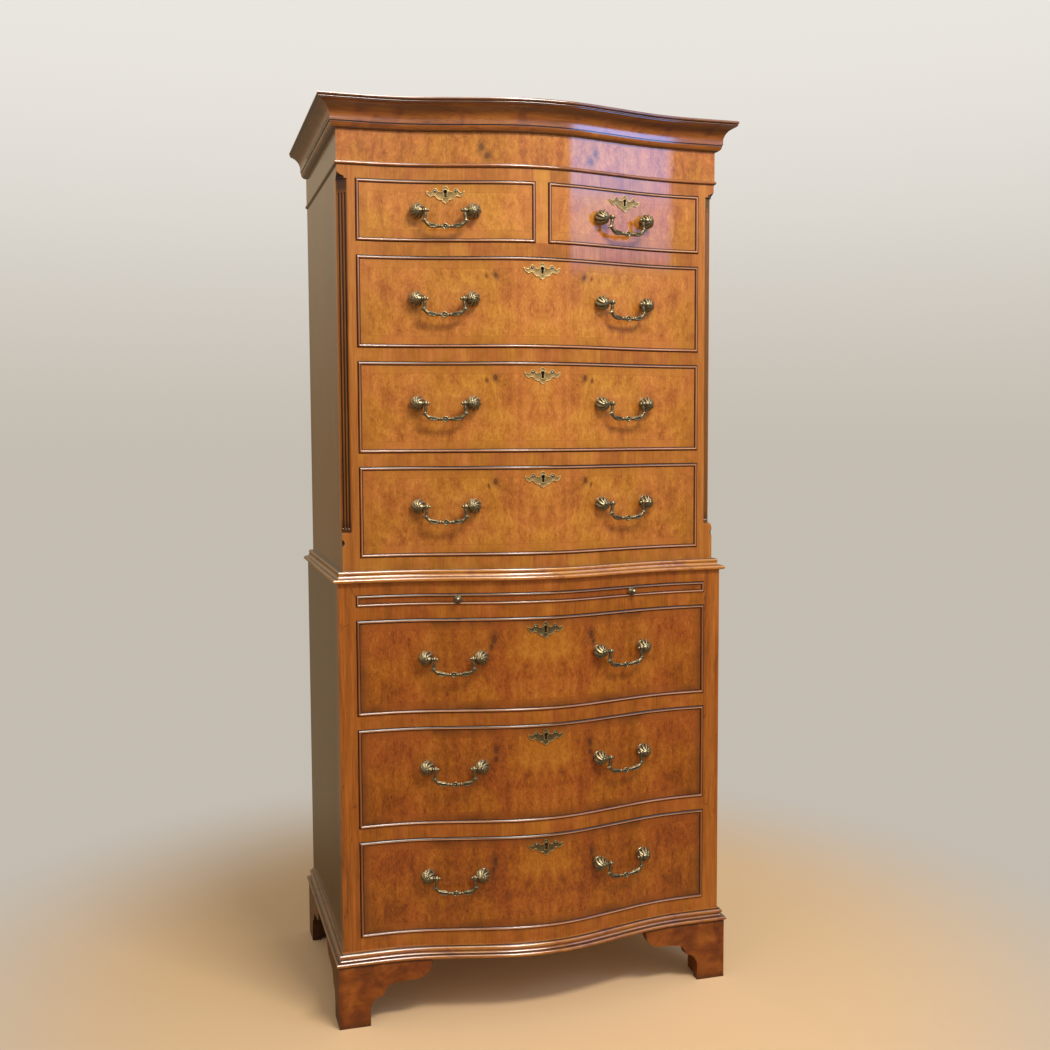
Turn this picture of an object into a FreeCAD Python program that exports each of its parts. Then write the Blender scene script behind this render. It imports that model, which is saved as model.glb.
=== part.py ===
import FreeCAD, Part
import math
import os

# Serpentine-fronted chest on chest. Millimetres, +Z up, the front faces -Y.
# The model is drawn with Y = 0 at the flat ends of the lower chest's front and is moved
# to its own origin, the centre of its footprint, when it is written.

Vector = FreeCAD.Vector

# ---- case ----
lower_width = 780.0          # across the sides of the lower chest
case_depth = 480.0           # flat end of the lower front to the back
upper_inset = 12.0           # the upper chest stands in from the lower one, front and sides
side_thickness = 18.0
board_thickness = 18.0       # tops and bottoms of the two chests
back_thickness = 6.0
back_recess = 4.0            # back panels stand in from the back edges

# ---- plan of the serpentine front ----
bow_radius = 396.0           # convex centre
flank_radius = 516.0         # concave flanks
bow_slope = math.radians(14.25)
flat_end = 68.0              # straight stretch at each corner

# ---- heights of the lower chest ----
foot_height = 121.0
bottom_rail_height = 49.5    # foot to the lowest opening
lower_rail_height = 25.5
lower_openings = (187.5, 192.0, 183.5)      # from the bottom up
slide_opening = 22.0
lower_top_rail_height = 23.0
waist_height = 22.0          # thickness of the waist moulding

# ---- heights of the upper chest ----
upper_bottom_rail_height = 24.0
upper_rail_height = 25.0
upper_openings = (172.0, 172.0, 171.0)
short_opening = 114.5
upper_top_rail_height = 23.0
frieze_bead_height = 7.5
frieze_height = 57.0
frieze_proud = 1.0
frieze_thickness = 20.0
cornice_top_thickness = 8.0

# ---- stiles, posts and rails ----
lower_stile_width = 33.5
stile_depth = 30.0
post_width = 33.0
post_depth = 40.0
rail_depth = 60.0            # behind the flat ends
divider_width = 24.0
cant = 19.0                  # leg of the cut-off corner
flute_radius = 2.6
flute_sink = 2.0
flute_pitch = 7.0
flute_top_margin = 27.0
flute_bottom_margin = 8.0
bottom_stop_rise = 73.0      # foot of the post to the ledge of its lower stop
top_stop_drop = 24.5         # head of the post to its upper stop

# ---- drawers ----
drawer_gap = 1.0             # round the front in its opening
running_gap = 0.3            # under the sides and beside the guides
front_thickness = 20.0
bead_width = 5.5
bead_nose = 3.0
bead_depth = 8.0
drawer_end_gap = 30.0        # back of the box to the back panel
drawer_side = 11.0
drawer_back = 9.0
drawer_bottom = 6.0
bottom_rise = 12.0           # drawer bottom above the edge of the sides
side_drop = 9.0              # top of the sides below the top of the front
runner_width = 25.0          # inside the opening
runner_thickness = 16.0
guide_height = 16.0
dustboard_thickness = 6.0
stop_block = (50.0, 8.0, 6.0)
stop_place = 200.0           # from the centre line

# ---- brushing slide ----
slide_bead_width = 4.5
slide_end_gap = 60.0         # back of the board to the back panel
slide_knob_places = (-165.0, 189.0)
slide_knob_radius = 5.0
slide_knob_flange = 8.6
slide_knob_length = 16.0

# ---- handles ----
short_handle_places = (-179.0, 172.5)        # from the centre line
upper_handle_places = (-182.0, 173.5)
lower_handle_places = (-173.5, 164.5)
handle_rises = {             # pivots above the foot of the opening
    "short": 56.0, "upper_1": 90.0, "upper_2": 93.0, "upper_3": 96.0,
    "lower_1": 107.5, "lower_2": 113.0, "lower_3": 113.0}
post_spacing = 105.0
boss_radius = 14.0
boss_height = 25.0
pivot_standoff = 20.0
pivot_radius = 2.2
pivot_clearance = 0.06
pivot_reach = 21.0           # boss axis to the centre of the ball on the pivot
pivot_ball = 2.9
eye_inner = 13.7             # boss axis to the near face of the bail's eye
eye_width = 4.0
eye_radius = 4.6
bail_drop = 29.5
bolt_radius = 2.0
bolt_clearance = 0.25
nut_radius = 4.6
nut_thickness = 3.5

# ---- locks and escutcheons ----
keyhole_drop = 25.0          # head of the opening to the middle of the keyhole
plate_thickness = 1.2
pin_radius = 0.8
pin_head_radius = 1.9
pin_head_height = 1.0
pin_length = 8.0
lock_width = 56.0
lock_height = 34.0
lock_thickness = 11.0
lock_drop = 7.0              # top of the front to the top of the lock

# ---- feet ----
foot_projection = 11.0       # face of the brackets beyond the lower chest
foot_thickness = 18.0
foot_leg = 60.0
foot_reach = 179.0
glue_block = 38.0

# ---- worked out ----
lower_half = lower_width / 2
upper_half = lower_half - upper_inset
flank_end = lower_half - flat_end
bow_depth = ((flank_end - (bow_radius + flank_radius) * math.sin(bow_slope)) * math.tan(bow_slope)
             + (bow_radius + flank_radius) * (1 - math.cos(bow_slope)))
back_face = case_depth - back_recess
inside_back = back_face - back_thickness
lower_opening_half = lower_half - lower_stile_width
upper_opening_half = upper_half - post_width
cornice_projection = 36.0    # beyond the frieze
frieze_offset = frieze_proud - upper_inset
frontmost = -(bow_depth + frieze_offset + cornice_projection)
shift_y = -(frontmost + case_depth) / 2

lower_bottom_opening = foot_height + bottom_rail_height
waist_z = (lower_bottom_opening + sum(lower_openings) + 3 * lower_rail_height
           + slide_opening + lower_top_rail_height)
upper_z = waist_z + waist_height      # first level of the upper chest that shows
upper_top = (upper_z + upper_bottom_rail_height + sum(upper_openings) + 3 * upper_rail_height
             + short_opening + upper_top_rail_height)
frieze_z = upper_top + frieze_bead_height
cornice_z = frieze_z + frieze_height


# ---------------------------------------------------------------- plan curve

def front_breaks(offset):
    """Where the front, moved outwards by offset, changes from one stretch to the next."""
    centre_end = (bow_radius + offset) * math.sin(bow_slope)
    flank_start = flank_end - (flank_radius - offset) * math.sin(bow_slope)
    return centre_end, flank_start


def front_y(x, offset):
    """Y of the front at x, moved outwards by offset."""
    centre_end, flank_start = front_breaks(offset)
    reach = abs(x)
    if reach <= centre_end:
        radius = bow_radius + offset
        return bow_radius - bow_depth - math.sqrt(radius * radius - reach * reach)
    if reach <= flank_start:
        start = bow_radius - bow_depth - (bow_radius + offset) * math.cos(bow_slope)
        return start + (reach - centre_end) * math.tan(bow_slope)
    if reach <= flank_end:
        radius = flank_radius - offset
        return math.sqrt(radius * radius - (flank_end - reach) ** 2) - flank_radius
    return -offset


def front_angle(x, offset):
    """Turn of the front's tangent about Z at x."""
    centre_end, flank_start = front_breaks(offset)
    reach = abs(x)
    if reach <= centre_end:
        angle = math.asin(reach / (bow_radius + offset))
    elif reach <= flank_start:
        angle = bow_slope
    elif reach <= flank_end:
        angle = math.asin((flank_end - reach) / (flank_radius - offset))
    else:
        angle = 0.0
    return math.copysign(angle, x)


def front_edges(offset, x0, x1):
    """Edges of the front curve from x0 to x1 at Z = 0."""
    centre_end, flank_start = front_breaks(offset)
    breaks = [-flank_end, -flank_start, -centre_end, centre_end, flank_start, flank_end]
    stations = [x0] + [b for b in breaks if x0 + 0.01 < b < x1 - 0.01] + [x1]
    edges = []
    for a, b in zip(stations, stations[1:]):
        middle = (a + b) / 2
        start = Vector(a, front_y(a, offset), 0)
        end = Vector(b, front_y(b, offset), 0)
        if abs(middle) < centre_end or flank_start < abs(middle) < flank_end:
            edges.append(Part.Arc(start, Vector(middle, front_y(middle, offset), 0), end).toShape())
        else:
            edges.append(Part.LineSegment(start, end).toShape())
    return edges


def extruded(edges, z0, z1):
    """Solid between z0 and z1 over a closed outline drawn at Z = 0."""
    wire = Part.Wire(Part.__sortEdges__(edges))
    face = Part.Face(wire)
    solid = face.extrude(Vector(0, 0, z1 - z0))
    solid.translate(Vector(0, 0, z0))
    return solid


def line(a, b):
    return Part.LineSegment(Vector(a[0], a[1], 0), Vector(b[0], b[1], 0)).toShape()


def front_band(outer, inner, x0, x1, z0, z1):
    """Board that follows the front between two offsets."""
    edges = front_edges(outer, x0, x1) + front_edges(inner, x0, x1)
    edges.append(line((x0, front_y(x0, outer)), (x0, front_y(x0, inner))))
    edges.append(line((x1, front_y(x1, outer)), (x1, front_y(x1, inner))))
    return extruded(edges, z0, z1)


def front_slab(outer, back_y, x0, x1, z0, z1):
    """Board with the front's curve at its front edge and a straight back edge."""
    edges = front_edges(outer, x0, x1)
    edges.append(line((x0, front_y(x0, outer)), (x0, back_y)))
    edges.append(line((x0, back_y), (x1, back_y)))
    edges.append(line((x1, back_y), (x1, front_y(x1, outer))))
    return extruded(edges, z0, z1)


def block(x0, x1, y0, y1, z0, z1):
    return Part.makeBox(x1 - x0, y1 - y0, z1 - z0, Vector(x0, y0, z0))


def mirrored(shape):
    return shape.mirror(Vector(0, 0, 0), Vector(1, 0, 0))


def both_sides(solids):
    return solids + [mirrored(solid) for solid in solids]


def fused(solids):
    return solids[0].multiFuse(solids[1:]).removeSplitter()


# ---------------------------------------------------------------- mouldings
# A profile is a list of steps (out, up): a pair is a straight step to that point, and a pair
# of pairs is an arc through the first of them to the second.

def profile_face(profile, place):
    """Face of a profile, with place(out, up) giving each point in space."""
    here = place(*profile[0])
    edges = []
    for step in profile[1:] + profile[:1]:
        if isinstance(step[0], tuple):
            end = place(*step[1])
            edges.append(Part.Arc(here, place(*step[0]), end).toShape())
        else:
            end = place(*step)
            edges.append(Part.LineSegment(here, end).toShape())
        here = end
    return Part.Face(Part.Wire(edges))


def moulding_front(profile, offset, z, half_width):
    """A profile run along the serpentine front to half_width each side."""
    centre = Vector(0, bow_radius - bow_depth, 0)
    flank = Vector(flank_end, -flank_radius, 0)
    sin_slope = math.sin(bow_slope)
    cos_slope = math.cos(bow_slope)
    outward = Vector(sin_slope, -cos_slope, 0)
    leftward = Vector(-sin_slope, -cos_slope, 0)
    degrees = math.degrees(bow_slope)

    def on_line(point, normal):
        return lambda out, up: point + normal * (out + offset) + Vector(0, 0, z + up)

    bow = profile_face(profile, on_line(centre + leftward * bow_radius, leftward))
    bow = bow.revolve(centre, Vector(0, 0, 1), 2 * degrees)
    slope_start = centre + outward * bow_radius
    slope_end = flank - outward * flank_radius
    slope = profile_face(profile, on_line(slope_start, outward)).extrude(slope_end - slope_start)
    curve = profile_face(profile, on_line(slope_end, outward))
    curve = curve.revolve(flank, Vector(0, 0, 1), -degrees)
    flat = profile_face(profile, on_line(Vector(flank_end, 0, 0), Vector(0, -1, 0)))
    flat = flat.extrude(Vector(half_width - flank_end, 0, 0))
    half = [slope, curve, flat]
    return fused([bow] + both_sides(half))


def mitre_prism():
    """All that lies in front of the two diagonals through the corners."""
    far = 3 * lower_width
    corners = [(0, lower_half), (far, lower_half - far), (-far, lower_half - far)]
    edges = [line(a, b) for a, b in zip(corners, corners[1:] + corners[:1])]
    return extruded(edges, 0, 3000)


def moulding(profile, offset, z):
    """A profile round the front and both sides, as three lengths mitred at the corners."""
    reach = lower_half + offset + 60
    prism = mitre_prism()
    front = moulding_front(profile, offset, z, reach).common(prism)
    corner = lower_half
    start = -100.0
    face = profile_face(profile, lambda out, up: Vector(corner + out + offset, start, z + up))
    side = face.extrude(Vector(0, case_depth - start, 0)).cut(prism)
    return [front, side, mirrored(side)]


cornice_profile = [
    (0, 0), (1.5, 0), ((8.3, 3.2), (11, 10.5)), (11, 12), (12.5, 12), (12.5, 15.5),
    ((17.2, 34), (33, 45)), (33, 46), ((34.6, 47.3), (33, 48.6)), (33, 49.6), (35.2, 49.6),
    ((36, 52.2), (35, 54.8)), (35, 55), (0, 55)]

frieze_bead_profile = [
    (-frieze_thickness, 0), (0, 0), ((2.8, frieze_bead_height / 2), (0, frieze_bead_height)),
    (-frieze_thickness, frieze_bead_height)]

waist_profile = [
    (-upper_inset, 0), (2, 0), (4.5, 0.8), ((9, 5), (5, 8.5)), (3, 8.8), ((-1.2, 10.4), (-3, 14.8)),
    (-4.2, 14.8), ((-2.3, 18.2), (-5.2, waist_height)), (-upper_inset, waist_height)]

base_profile = [
    (0, 0), (9, 0), (10.5, 0.4), ((15, 4), (10.5, 7.6)), (8, 7.8), ((5.2, 9.8), (4.4, 13.2)),
    (4.4, 13.6), ((8.2, 17.8), (4.4, 22)), (2.6, 22), (2.6, 24.5), (0, 24.5)]


# ---------------------------------------------------------------- carcass

def drawer_levels():
    """Foot and head of every opening: name -> (z0, z1)."""
    levels = {}
    z = lower_bottom_opening
    for name, height in zip(("lower_3", "lower_2", "lower_1"), lower_openings):
        levels[name] = (z, z + height)
        z += height + lower_rail_height
    levels["slide"] = (z, z + slide_opening)
    z = upper_z + upper_bottom_rail_height
    for name, height in zip(("upper_3", "upper_2", "upper_1"), upper_openings):
        levels[name] = (z, z + height)
        z += height + upper_rail_height
    levels["short"] = (z, z + short_opening)
    return levels


levels = drawer_levels()


def stop_blocks(offset, z, places):
    """Blocks on a rail that the front of a closed drawer meets."""
    length, depth, height = stop_block
    blocks = []
    for x in places:
        ends = (x - length / 2, x + length / 2)
        y = max(front_y(end, offset - front_thickness) for end in ends) + running_gap
        blocks.append(block(ends[0], ends[1], y, y + depth, z, z + height))
    return blocks


def rails(offset, opening_half, spans):
    """Rails between the uprights; spans are (foot, head) pairs."""
    back = -offset + rail_depth
    return [front_slab(offset, back, -opening_half, opening_half, z0, z1) for z0, z1 in spans]


def lower_rails():
    feet = [foot_height] + [levels[name][1] for name in ("lower_3", "lower_2", "lower_1", "slide")]
    heads = [levels[name][0] for name in ("lower_3", "lower_2", "lower_1", "slide")] + [waist_z]
    parts = rails(0, lower_opening_half, list(zip(feet, heads)))
    for name in ("lower_3", "lower_2", "lower_1"):
        parts += stop_blocks(0, levels[name][0], (-stop_place, stop_place))
    return parts


def upper_rails():
    feet = [waist_z] + [levels[name][1] for name in ("upper_3", "upper_2", "upper_1", "short")]
    heads = [levels[name][0] for name in ("upper_3", "upper_2", "upper_1", "short")] + [upper_top]
    parts = rails(-upper_inset, upper_opening_half, list(zip(feet, heads)))
    half = divider_width / 2
    parts.append(front_slab(-upper_inset, upper_inset + rail_depth, -half, half, *levels["short"]))
    for name in ("upper_3", "upper_2", "upper_1", "short"):
        parts += stop_blocks(-upper_inset, levels[name][0], (-stop_place, stop_place))
    return parts


def runner(opening_half, inner_half, y0, y1, top):
    """Right-hand runner and the guide glued on it, with the running face at top."""
    bearer = block(opening_half - runner_width, inner_half, y0, y1, top - runner_thickness, top)
    guide = block(opening_half + running_gap, inner_half, y0, y1, top, top + guide_height)
    return [bearer, guide]


def runners(opening_half, inner_half, y0, y1, tops, board_top):
    """Runners, dustboards and, on the bottom board, guides alone."""
    parts = []
    for top in tops:
        parts += both_sides(runner(opening_half, inner_half, y0, y1, top))
        half = opening_half - runner_width
        middle = top - runner_thickness / 2
        sheet = (middle - dustboard_thickness / 2, middle + dustboard_thickness / 2)
        parts.append(block(-half, half, y0, y1, *sheet))
    guide = block(opening_half + running_gap, inner_half, y0, y1, board_top, board_top + guide_height)
    return parts + both_sides([guide])


def lower_runners():
    tops = [levels[name][0] for name in ("lower_2", "lower_1")]
    inner = lower_half - side_thickness
    parts = runners(lower_opening_half, inner, rail_depth, inside_back, tops, levels["lower_3"][0])
    top = levels["slide"][0]
    bearer = block(lower_opening_half - runner_width, inner, rail_depth, inside_back,
                   top - runner_thickness, top)
    guide = block(lower_opening_half + running_gap, inner, rail_depth, inside_back,
                  top, levels["slide"][1] + 4)
    return parts + both_sides([bearer, guide])


def upper_runners():
    tops = [levels[name][0] for name in ("upper_2", "upper_1", "short")]
    inner = upper_half - side_thickness
    y0 = upper_inset + rail_depth
    parts = runners(upper_opening_half, inner, y0, inside_back, tops[:2], levels["upper_3"][0])
    top = tops[2]
    parts += both_sides(runner(upper_opening_half, inner, y0, inside_back, top))
    half = divider_width / 2
    bearer = block(-half - runner_width, half + runner_width, y0, inside_back,
                   top - runner_thickness, top)
    guide = block(running_gap - half, half - running_gap, y0, inside_back, top, top + guide_height)
    return parts + [bearer, guide]


def fluted_post():
    """Right-hand corner post of the upper chest, canted and fluted between shaped stops."""
    x1 = upper_half
    y0 = upper_inset
    post = block(upper_opening_half, x1, y0, y0 + post_depth, waist_z, upper_top)
    ledge = upper_z + bottom_stop_rise
    head = upper_top - top_stop_drop
    corner = cant / math.sqrt(2)
    tangent = Vector(1, 1, 0).normalize()
    outward = Vector(1, -1, 0).normalize()
    middle = Vector(x1 - cant / 2, y0 + cant / 2, 0)
    cut = [
        (0, ledge), (3.6, ledge), ((10.4, ledge - 3.4), (corner - 0.2, ledge - 11.5)),
        (corner - 0.2, ledge - 13.5), ((corner - 3.2, ledge - 20), (corner + 0.5, ledge - 27)),
        (corner + 8, ledge - 27), (corner + 8, head + 13), (corner - 0.2, head + 11.5),
        ((corner - 4.6, head + 6.5), (4.2, head + 4)), (4.2, head), (0, head)]
    start = middle - tangent * (2 * cant)
    face = profile_face(cut, lambda out, up: start + outward * out + Vector(0, 0, up))
    post = post.cut(face.extrude(tangent * (4 * cant)))
    axis = flute_radius - flute_sink
    low = ledge + flute_bottom_margin
    high = head - flute_top_margin
    for step in (-1, 0, 1):
        foot = middle + tangent * (step * flute_pitch) + outward * axis
        groove = Part.makeCylinder(flute_radius, high - low, foot + Vector(0, 0, low))
        ends = [Part.makeSphere(flute_radius, foot + Vector(0, 0, z)) for z in (low, high)]
        post = post.cut(fused([groove] + ends))
    return post


def frieze_frame():
    """Four boards behind the frieze veneer and the cornice."""
    z0 = frieze_z
    z1 = cornice_z + 55 - cornice_top_thickness
    half = upper_half + frieze_proud
    inner = half - frieze_thickness
    y0 = -frieze_offset + frieze_thickness
    front = front_band(frieze_offset, frieze_offset - frieze_thickness, -half, half, z0, z1)
    side = block(inner, half, y0, case_depth, z0, z1)
    back = block(-inner, inner, case_depth - frieze_thickness, case_depth, z0, z1)
    return [front, side, mirrored(side), back]


def bracket_prism():
    """Fretted outline of a bracket: X runs inwards from its outer edge."""
    head = foot_height
    foot_lobe = foot_reach - foot_leg
    outline = [
        (0, 0), (foot_leg, 0), (foot_leg, head - 87),
        ((foot_leg + 6, head - 74), (foot_leg + 25.5, head - 63.7)),
        (foot_leg + 27.5, head - 61), ((foot_leg + 32.3, head - 49.2), (foot_leg + 43, head - 43.2)),
        ((foot_leg + 0.5 * foot_lobe, head - 40.6), (foot_reach - 31, head - 38)),
        ((foot_reach - 8.3, head - 26), (foot_reach, head - 3)), (foot_reach, head), (0, head)]
    face = profile_face(outline, lambda out, up: Vector(out, 0, up))
    return face.extrude(Vector(0, 200, 0))


def bracket_feet():
    prism = bracket_prism()
    outer = lower_half + foot_projection
    inner = foot_projection - foot_thickness
    front = front_band(foot_projection, inner, lower_half - foot_reach, outer, 0, foot_height)
    front_cut = mirrored(prism)
    front_cut.translate(Vector(outer, -150, 0))
    mitre = mitre_prism()
    mitre.translate(Vector(0, 0, -10))
    front = front.common(front_cut).common(mitre)
    turned = prism.copy()
    turned.rotate(Vector(0, 0, 0), Vector(0, 0, 1), 90)
    side = block(outer - foot_thickness, outer, -foot_projection, foot_reach, 0, foot_height)
    side_cut = turned.copy()
    side_cut.translate(Vector(outer + 50, -foot_projection, 0))
    side = side.common(side_cut).cut(mitre)
    back = block(outer - foot_thickness, outer, case_depth - foot_reach, case_depth, 0, foot_height)
    back_cut = turned.mirror(Vector(0, 0, 0), Vector(0, 1, 0))
    back_cut.translate(Vector(outer + 50, case_depth, 0))
    back = back.common(back_cut)
    rear_x = outer - foot_thickness
    rear = block(rear_x - foot_leg, rear_x, case_depth - foot_thickness, case_depth, 0, foot_height)
    low = 4.0
    front_block = block(rear_x - glue_block, rear_x, -inner, -inner + glue_block, low, foot_height)
    rear_y = case_depth - foot_thickness
    rear_block = block(rear_x - glue_block, rear_x, rear_y - glue_block, rear_y, low, foot_height)
    return both_sides([front, side, back, rear, front_block, rear_block])


def carcass():
    """Every fixed node of the two cases."""
    nodes = {}
    inner_lower = lower_half - side_thickness
    inner_upper = upper_half - side_thickness
    nodes["bracket_feet"] = bracket_feet()
    nodes["base_moulding"] = moulding(base_profile, 0, foot_height)
    side = block(inner_lower, lower_half, stile_depth, case_depth, foot_height, waist_z)
    nodes["lower_right_side"] = [side]
    nodes["lower_left_side"] = [mirrored(side)]
    stile = block(lower_opening_half, lower_half, 0, stile_depth, foot_height, waist_z)
    nodes["lower_stiles"] = both_sides([stile])
    nodes["lower_rails"] = lower_rails()
    top = levels["lower_3"][0]
    nodes["lower_boards"] = [
        block(-inner_lower, inner_lower, rail_depth, inside_back, top - board_thickness, top),
        block(-inner_lower, inner_lower, rail_depth, inside_back, waist_z - board_thickness, waist_z)]
    nodes["lower_runners"] = lower_runners()
    nodes["waist_moulding"] = moulding(waist_profile, 0, waist_z)
    side = block(inner_upper, upper_half, upper_inset + post_depth, case_depth, waist_z, upper_top)
    nodes["upper_right_side"] = [side]
    nodes["upper_left_side"] = [mirrored(side)]
    nodes["fluted_posts"] = both_sides([fluted_post()])
    nodes["upper_rails"] = upper_rails()
    top = levels["upper_3"][0]
    y0 = upper_inset + rail_depth
    nodes["upper_boards"] = [
        block(-inner_upper, inner_upper, y0, inside_back, top - board_thickness, top),
        block(-inner_upper, inner_upper, y0, inside_back, upper_top - board_thickness, upper_top)]
    nodes["upper_runners"] = upper_runners()
    nodes["back_panels"] = [
        block(-inner_lower, inner_lower, inside_back, back_face, foot_height, waist_z),
        block(-inner_upper, inner_upper, inside_back, back_face, waist_z, upper_top)]
    nodes["frieze_bead"] = moulding(frieze_bead_profile, frieze_offset, upper_top)
    nodes["frieze_frame"] = frieze_frame()
    nodes["cornice_moulding"] = moulding(cornice_profile, frieze_offset, cornice_z)
    half = upper_half + frieze_proud
    cornice_top = cornice_z + 55
    nodes["cornice_top_board"] = [
        front_slab(frieze_offset, case_depth, -half, half, cornice_top - cornice_top_thickness, cornice_top)]
    return nodes


# ---------------------------------------------------------------- fittings

def placed(shape, x, y, angle, z):
    """Move a shape drawn with -Y outwards to a point of the front."""
    moved = shape.copy()
    moved.rotate(Vector(0, 0, 0), Vector(0, 0, 1), math.degrees(angle))
    moved.translate(Vector(x, y, z))
    return moved


def handle_frame(x, offset):
    """Middle of a handle's two posts on the front, and the turn of the line through them."""
    reach = post_spacing / 2 * math.cos(front_angle(x, offset))
    ends = [Vector(end, front_y(end, offset), 0) for end in (x - reach, x + reach)]
    middle = (ends[0] + ends[1]) * 0.5
    angle = math.atan2(ends[1].y - ends[0].y, ends[1].x - ends[0].x)
    return middle, angle


def revolved_boss(points):
    """Solid turned about the Y axis from (out, radius) points, with -Y outwards."""
    corners = [Vector(radius, -out, 0) for out, radius in points]
    face = Part.Face(Part.makePolygon(corners + corners[:1]))
    return face.revolve(Vector(0, 0, 0), Vector(0, 1, 0), 360)


def post_boss():
    """Domed boss that holds one end of a bail, seated a little into the front."""
    points = [
        (-1.5, 0), (-1.5, boss_radius - 1.5), (2.5, boss_radius - 1), (5, boss_radius),
        (8, boss_radius - 0.4), (12, boss_radius - 1.8), (16, boss_radius - 3.8),
        (19.5, boss_radius - 5.7), (22.5, boss_radius - 8.6), (boss_height, boss_radius - 12.5),
        (boss_height, 0)]
    return revolved_boss(points)


def pivot(direction):
    """Pin and its ball, running towards the middle of the handle."""
    axis = Vector(direction, 0, 0)
    start = Vector(0, -pivot_standoff, 0)
    pin = Part.makeCylinder(pivot_radius, pivot_reach, start, axis)
    ball = Part.makeSphere(pivot_ball, start + axis * pivot_reach)
    return pin.fuse(ball)


def nut():
    corners = [Vector(nut_radius * math.cos(math.radians(60 * k)), 0,
                      nut_radius * math.sin(math.radians(60 * k))) for k in range(6)]
    face = Part.Face(Part.makePolygon(corners + corners[:1]))
    solid = face.extrude(Vector(0, nut_thickness, 0))
    solid.translate(Vector(0, front_thickness + running_gap, 0))
    hole = Part.makeCylinder(bolt_radius, 60, Vector(0, 0, 0), Vector(0, 1, 0))
    return solid.cut(hole)


def bar(points):
    """Round bar through (x, z, radius) points in the plane of a hanging bail."""
    sections = []
    last = len(points) - 1
    for k, (x, z, radius) in enumerate(points):
        before = points[max(k - 1, 0)]
        after = points[min(k + 1, last)]
        along = Vector(after[0] - before[0], 0, after[1] - before[1])
        circle = Part.makeCircle(radius, Vector(x, -pivot_standoff, z), along)
        sections.append(Part.Wire(circle))
    return Part.makeLoft(sections, True, False)


def bail():
    """Hanging bail: an eye on each pivot, a collar at each elbow and a roundel in the middle."""
    inner = post_spacing / 2 - eye_inner - eye_width
    axis = Vector(1, 0, 0)
    eye_middle = inner + eye_width / 2
    elbow = eye_middle + 1.8
    eye = Part.makeCylinder(eye_radius, eye_width, Vector(inner, -pivot_standoff, 0), axis)
    arm = bar([(eye_middle, -3.2, 1.8), (eye_middle + 0.8, -10, 1.7), (elbow, -17.5, 1.9)])
    collar = Part.makeSphere(3.1, Vector(elbow, -pivot_standoff, -17.5))
    hole = Part.makeCylinder(pivot_radius + pivot_clearance, eye_width + 2,
                             Vector(inner - 1, -pivot_standoff, 0), axis)
    half = fused([eye, arm, collar]).cut(hole)
    right = [(3, -bail_drop, 1.8), (elbow - 24, 0.4 - bail_drop, 2.6), (elbow - 13, 1 - bail_drop, 3.0),
             (elbow - 5, 4.2 - bail_drop, 2.4), (elbow, -18, 1.8)]
    left = [(-x, z, radius) for x, z, radius in reversed(right)]
    curve = bar(left + right)
    roundel = Part.makeCylinder(5.2, 6.4, Vector(0, 3.2 - pivot_standoff, -bail_drop), Vector(0, -1, 0))
    return fused([half, mirrored(half), curve, roundel])


def keyhole(depth):
    """Keyhole through the plate and the wood behind it, with its middle at Z = 0."""
    round_end = Part.makeCylinder(2.7, depth, Vector(0, -3, 3.4), Vector(0, 1, 0))
    slot = block(-1.5, 1.5, -3, depth - 3, -6.8, 3.4)
    return round_end.fuse(slot).removeSplitter()


def escutcheon_outline():
    """Right half of the plate's edge, from its top to its bottom point."""
    return [
        (0, 13), ((5.4, 9.2), (7.6, 3.6)), (9.2, 2.6), ((17.2, 10), (24.4, 4.6)),
        ((29.6, 1.9), (34.8, 5.4)), ((32.6, -2.4), (27, -6.2)), ((24.2, -5.6), (22, -4)),
        (18.6, -4.6), ((14.2, -8.4), (9.4, -11.2)), (5.9, -11.6), ((4.4, -15.4), (0, -17.8))]


def escutcheon(x, offset, z):
    """Plate bent to the front, with its keyhole."""
    face = profile_face(escutcheon_outline(), lambda out, up: Vector(out, -10, up))
    prism = face.extrude(Vector(0, 20, 0))
    prism = prism.fuse(mirrored(prism)).removeSplitter().cut(keyhole(12))
    place = (x, front_y(x, offset), front_angle(x, offset), z)
    shell = front_band(offset + plate_thickness, offset, x - 45, x + 45, z - 30, z + 30)
    return placed(prism, *place).common(shell)


def plate_pin(side):
    """Domed pin through one wing of the plate."""
    head_y = -plate_thickness
    shank = Part.makeCylinder(pin_radius, pin_length + plate_thickness,
                              Vector(18.4 * side, head_y, 3.6), Vector(0, 1, 0))
    head = Part.makeCone(pin_head_radius, 0.9, pin_head_height,
                         Vector(18.4 * side, head_y - 0.3, 3.6), Vector(0, -1, 0))
    seat = Part.makeCylinder(pin_head_radius, 0.3, Vector(18.4 * side, head_y - 0.3, 3.6),
                             Vector(0, 1, 0))
    return fused([shank, seat, head])


def lock():
    """Lock case let into the back of the front, its top at Z = 0."""
    y0 = front_thickness - lock_thickness
    case = block(-lock_width / 2, lock_width / 2, y0, front_thickness - 1.5, -lock_height, 0)
    cap = block(-lock_width / 2 + 6, lock_width / 2 - 6, front_thickness - 1.5, front_thickness,
                -lock_height + 5, -5)
    return case.fuse(cap).removeSplitter()


# ---------------------------------------------------------------- drawers

def horizontal_bead(width, offset):
    """Cock bead along the whole front with its foot at Z = 0."""
    profile = [(-bead_depth, 0), (0, 0), ((bead_nose, width / 2), (0, width)), (-bead_depth, width)]
    return moulding_front(profile, offset, 0, lower_half)


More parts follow.
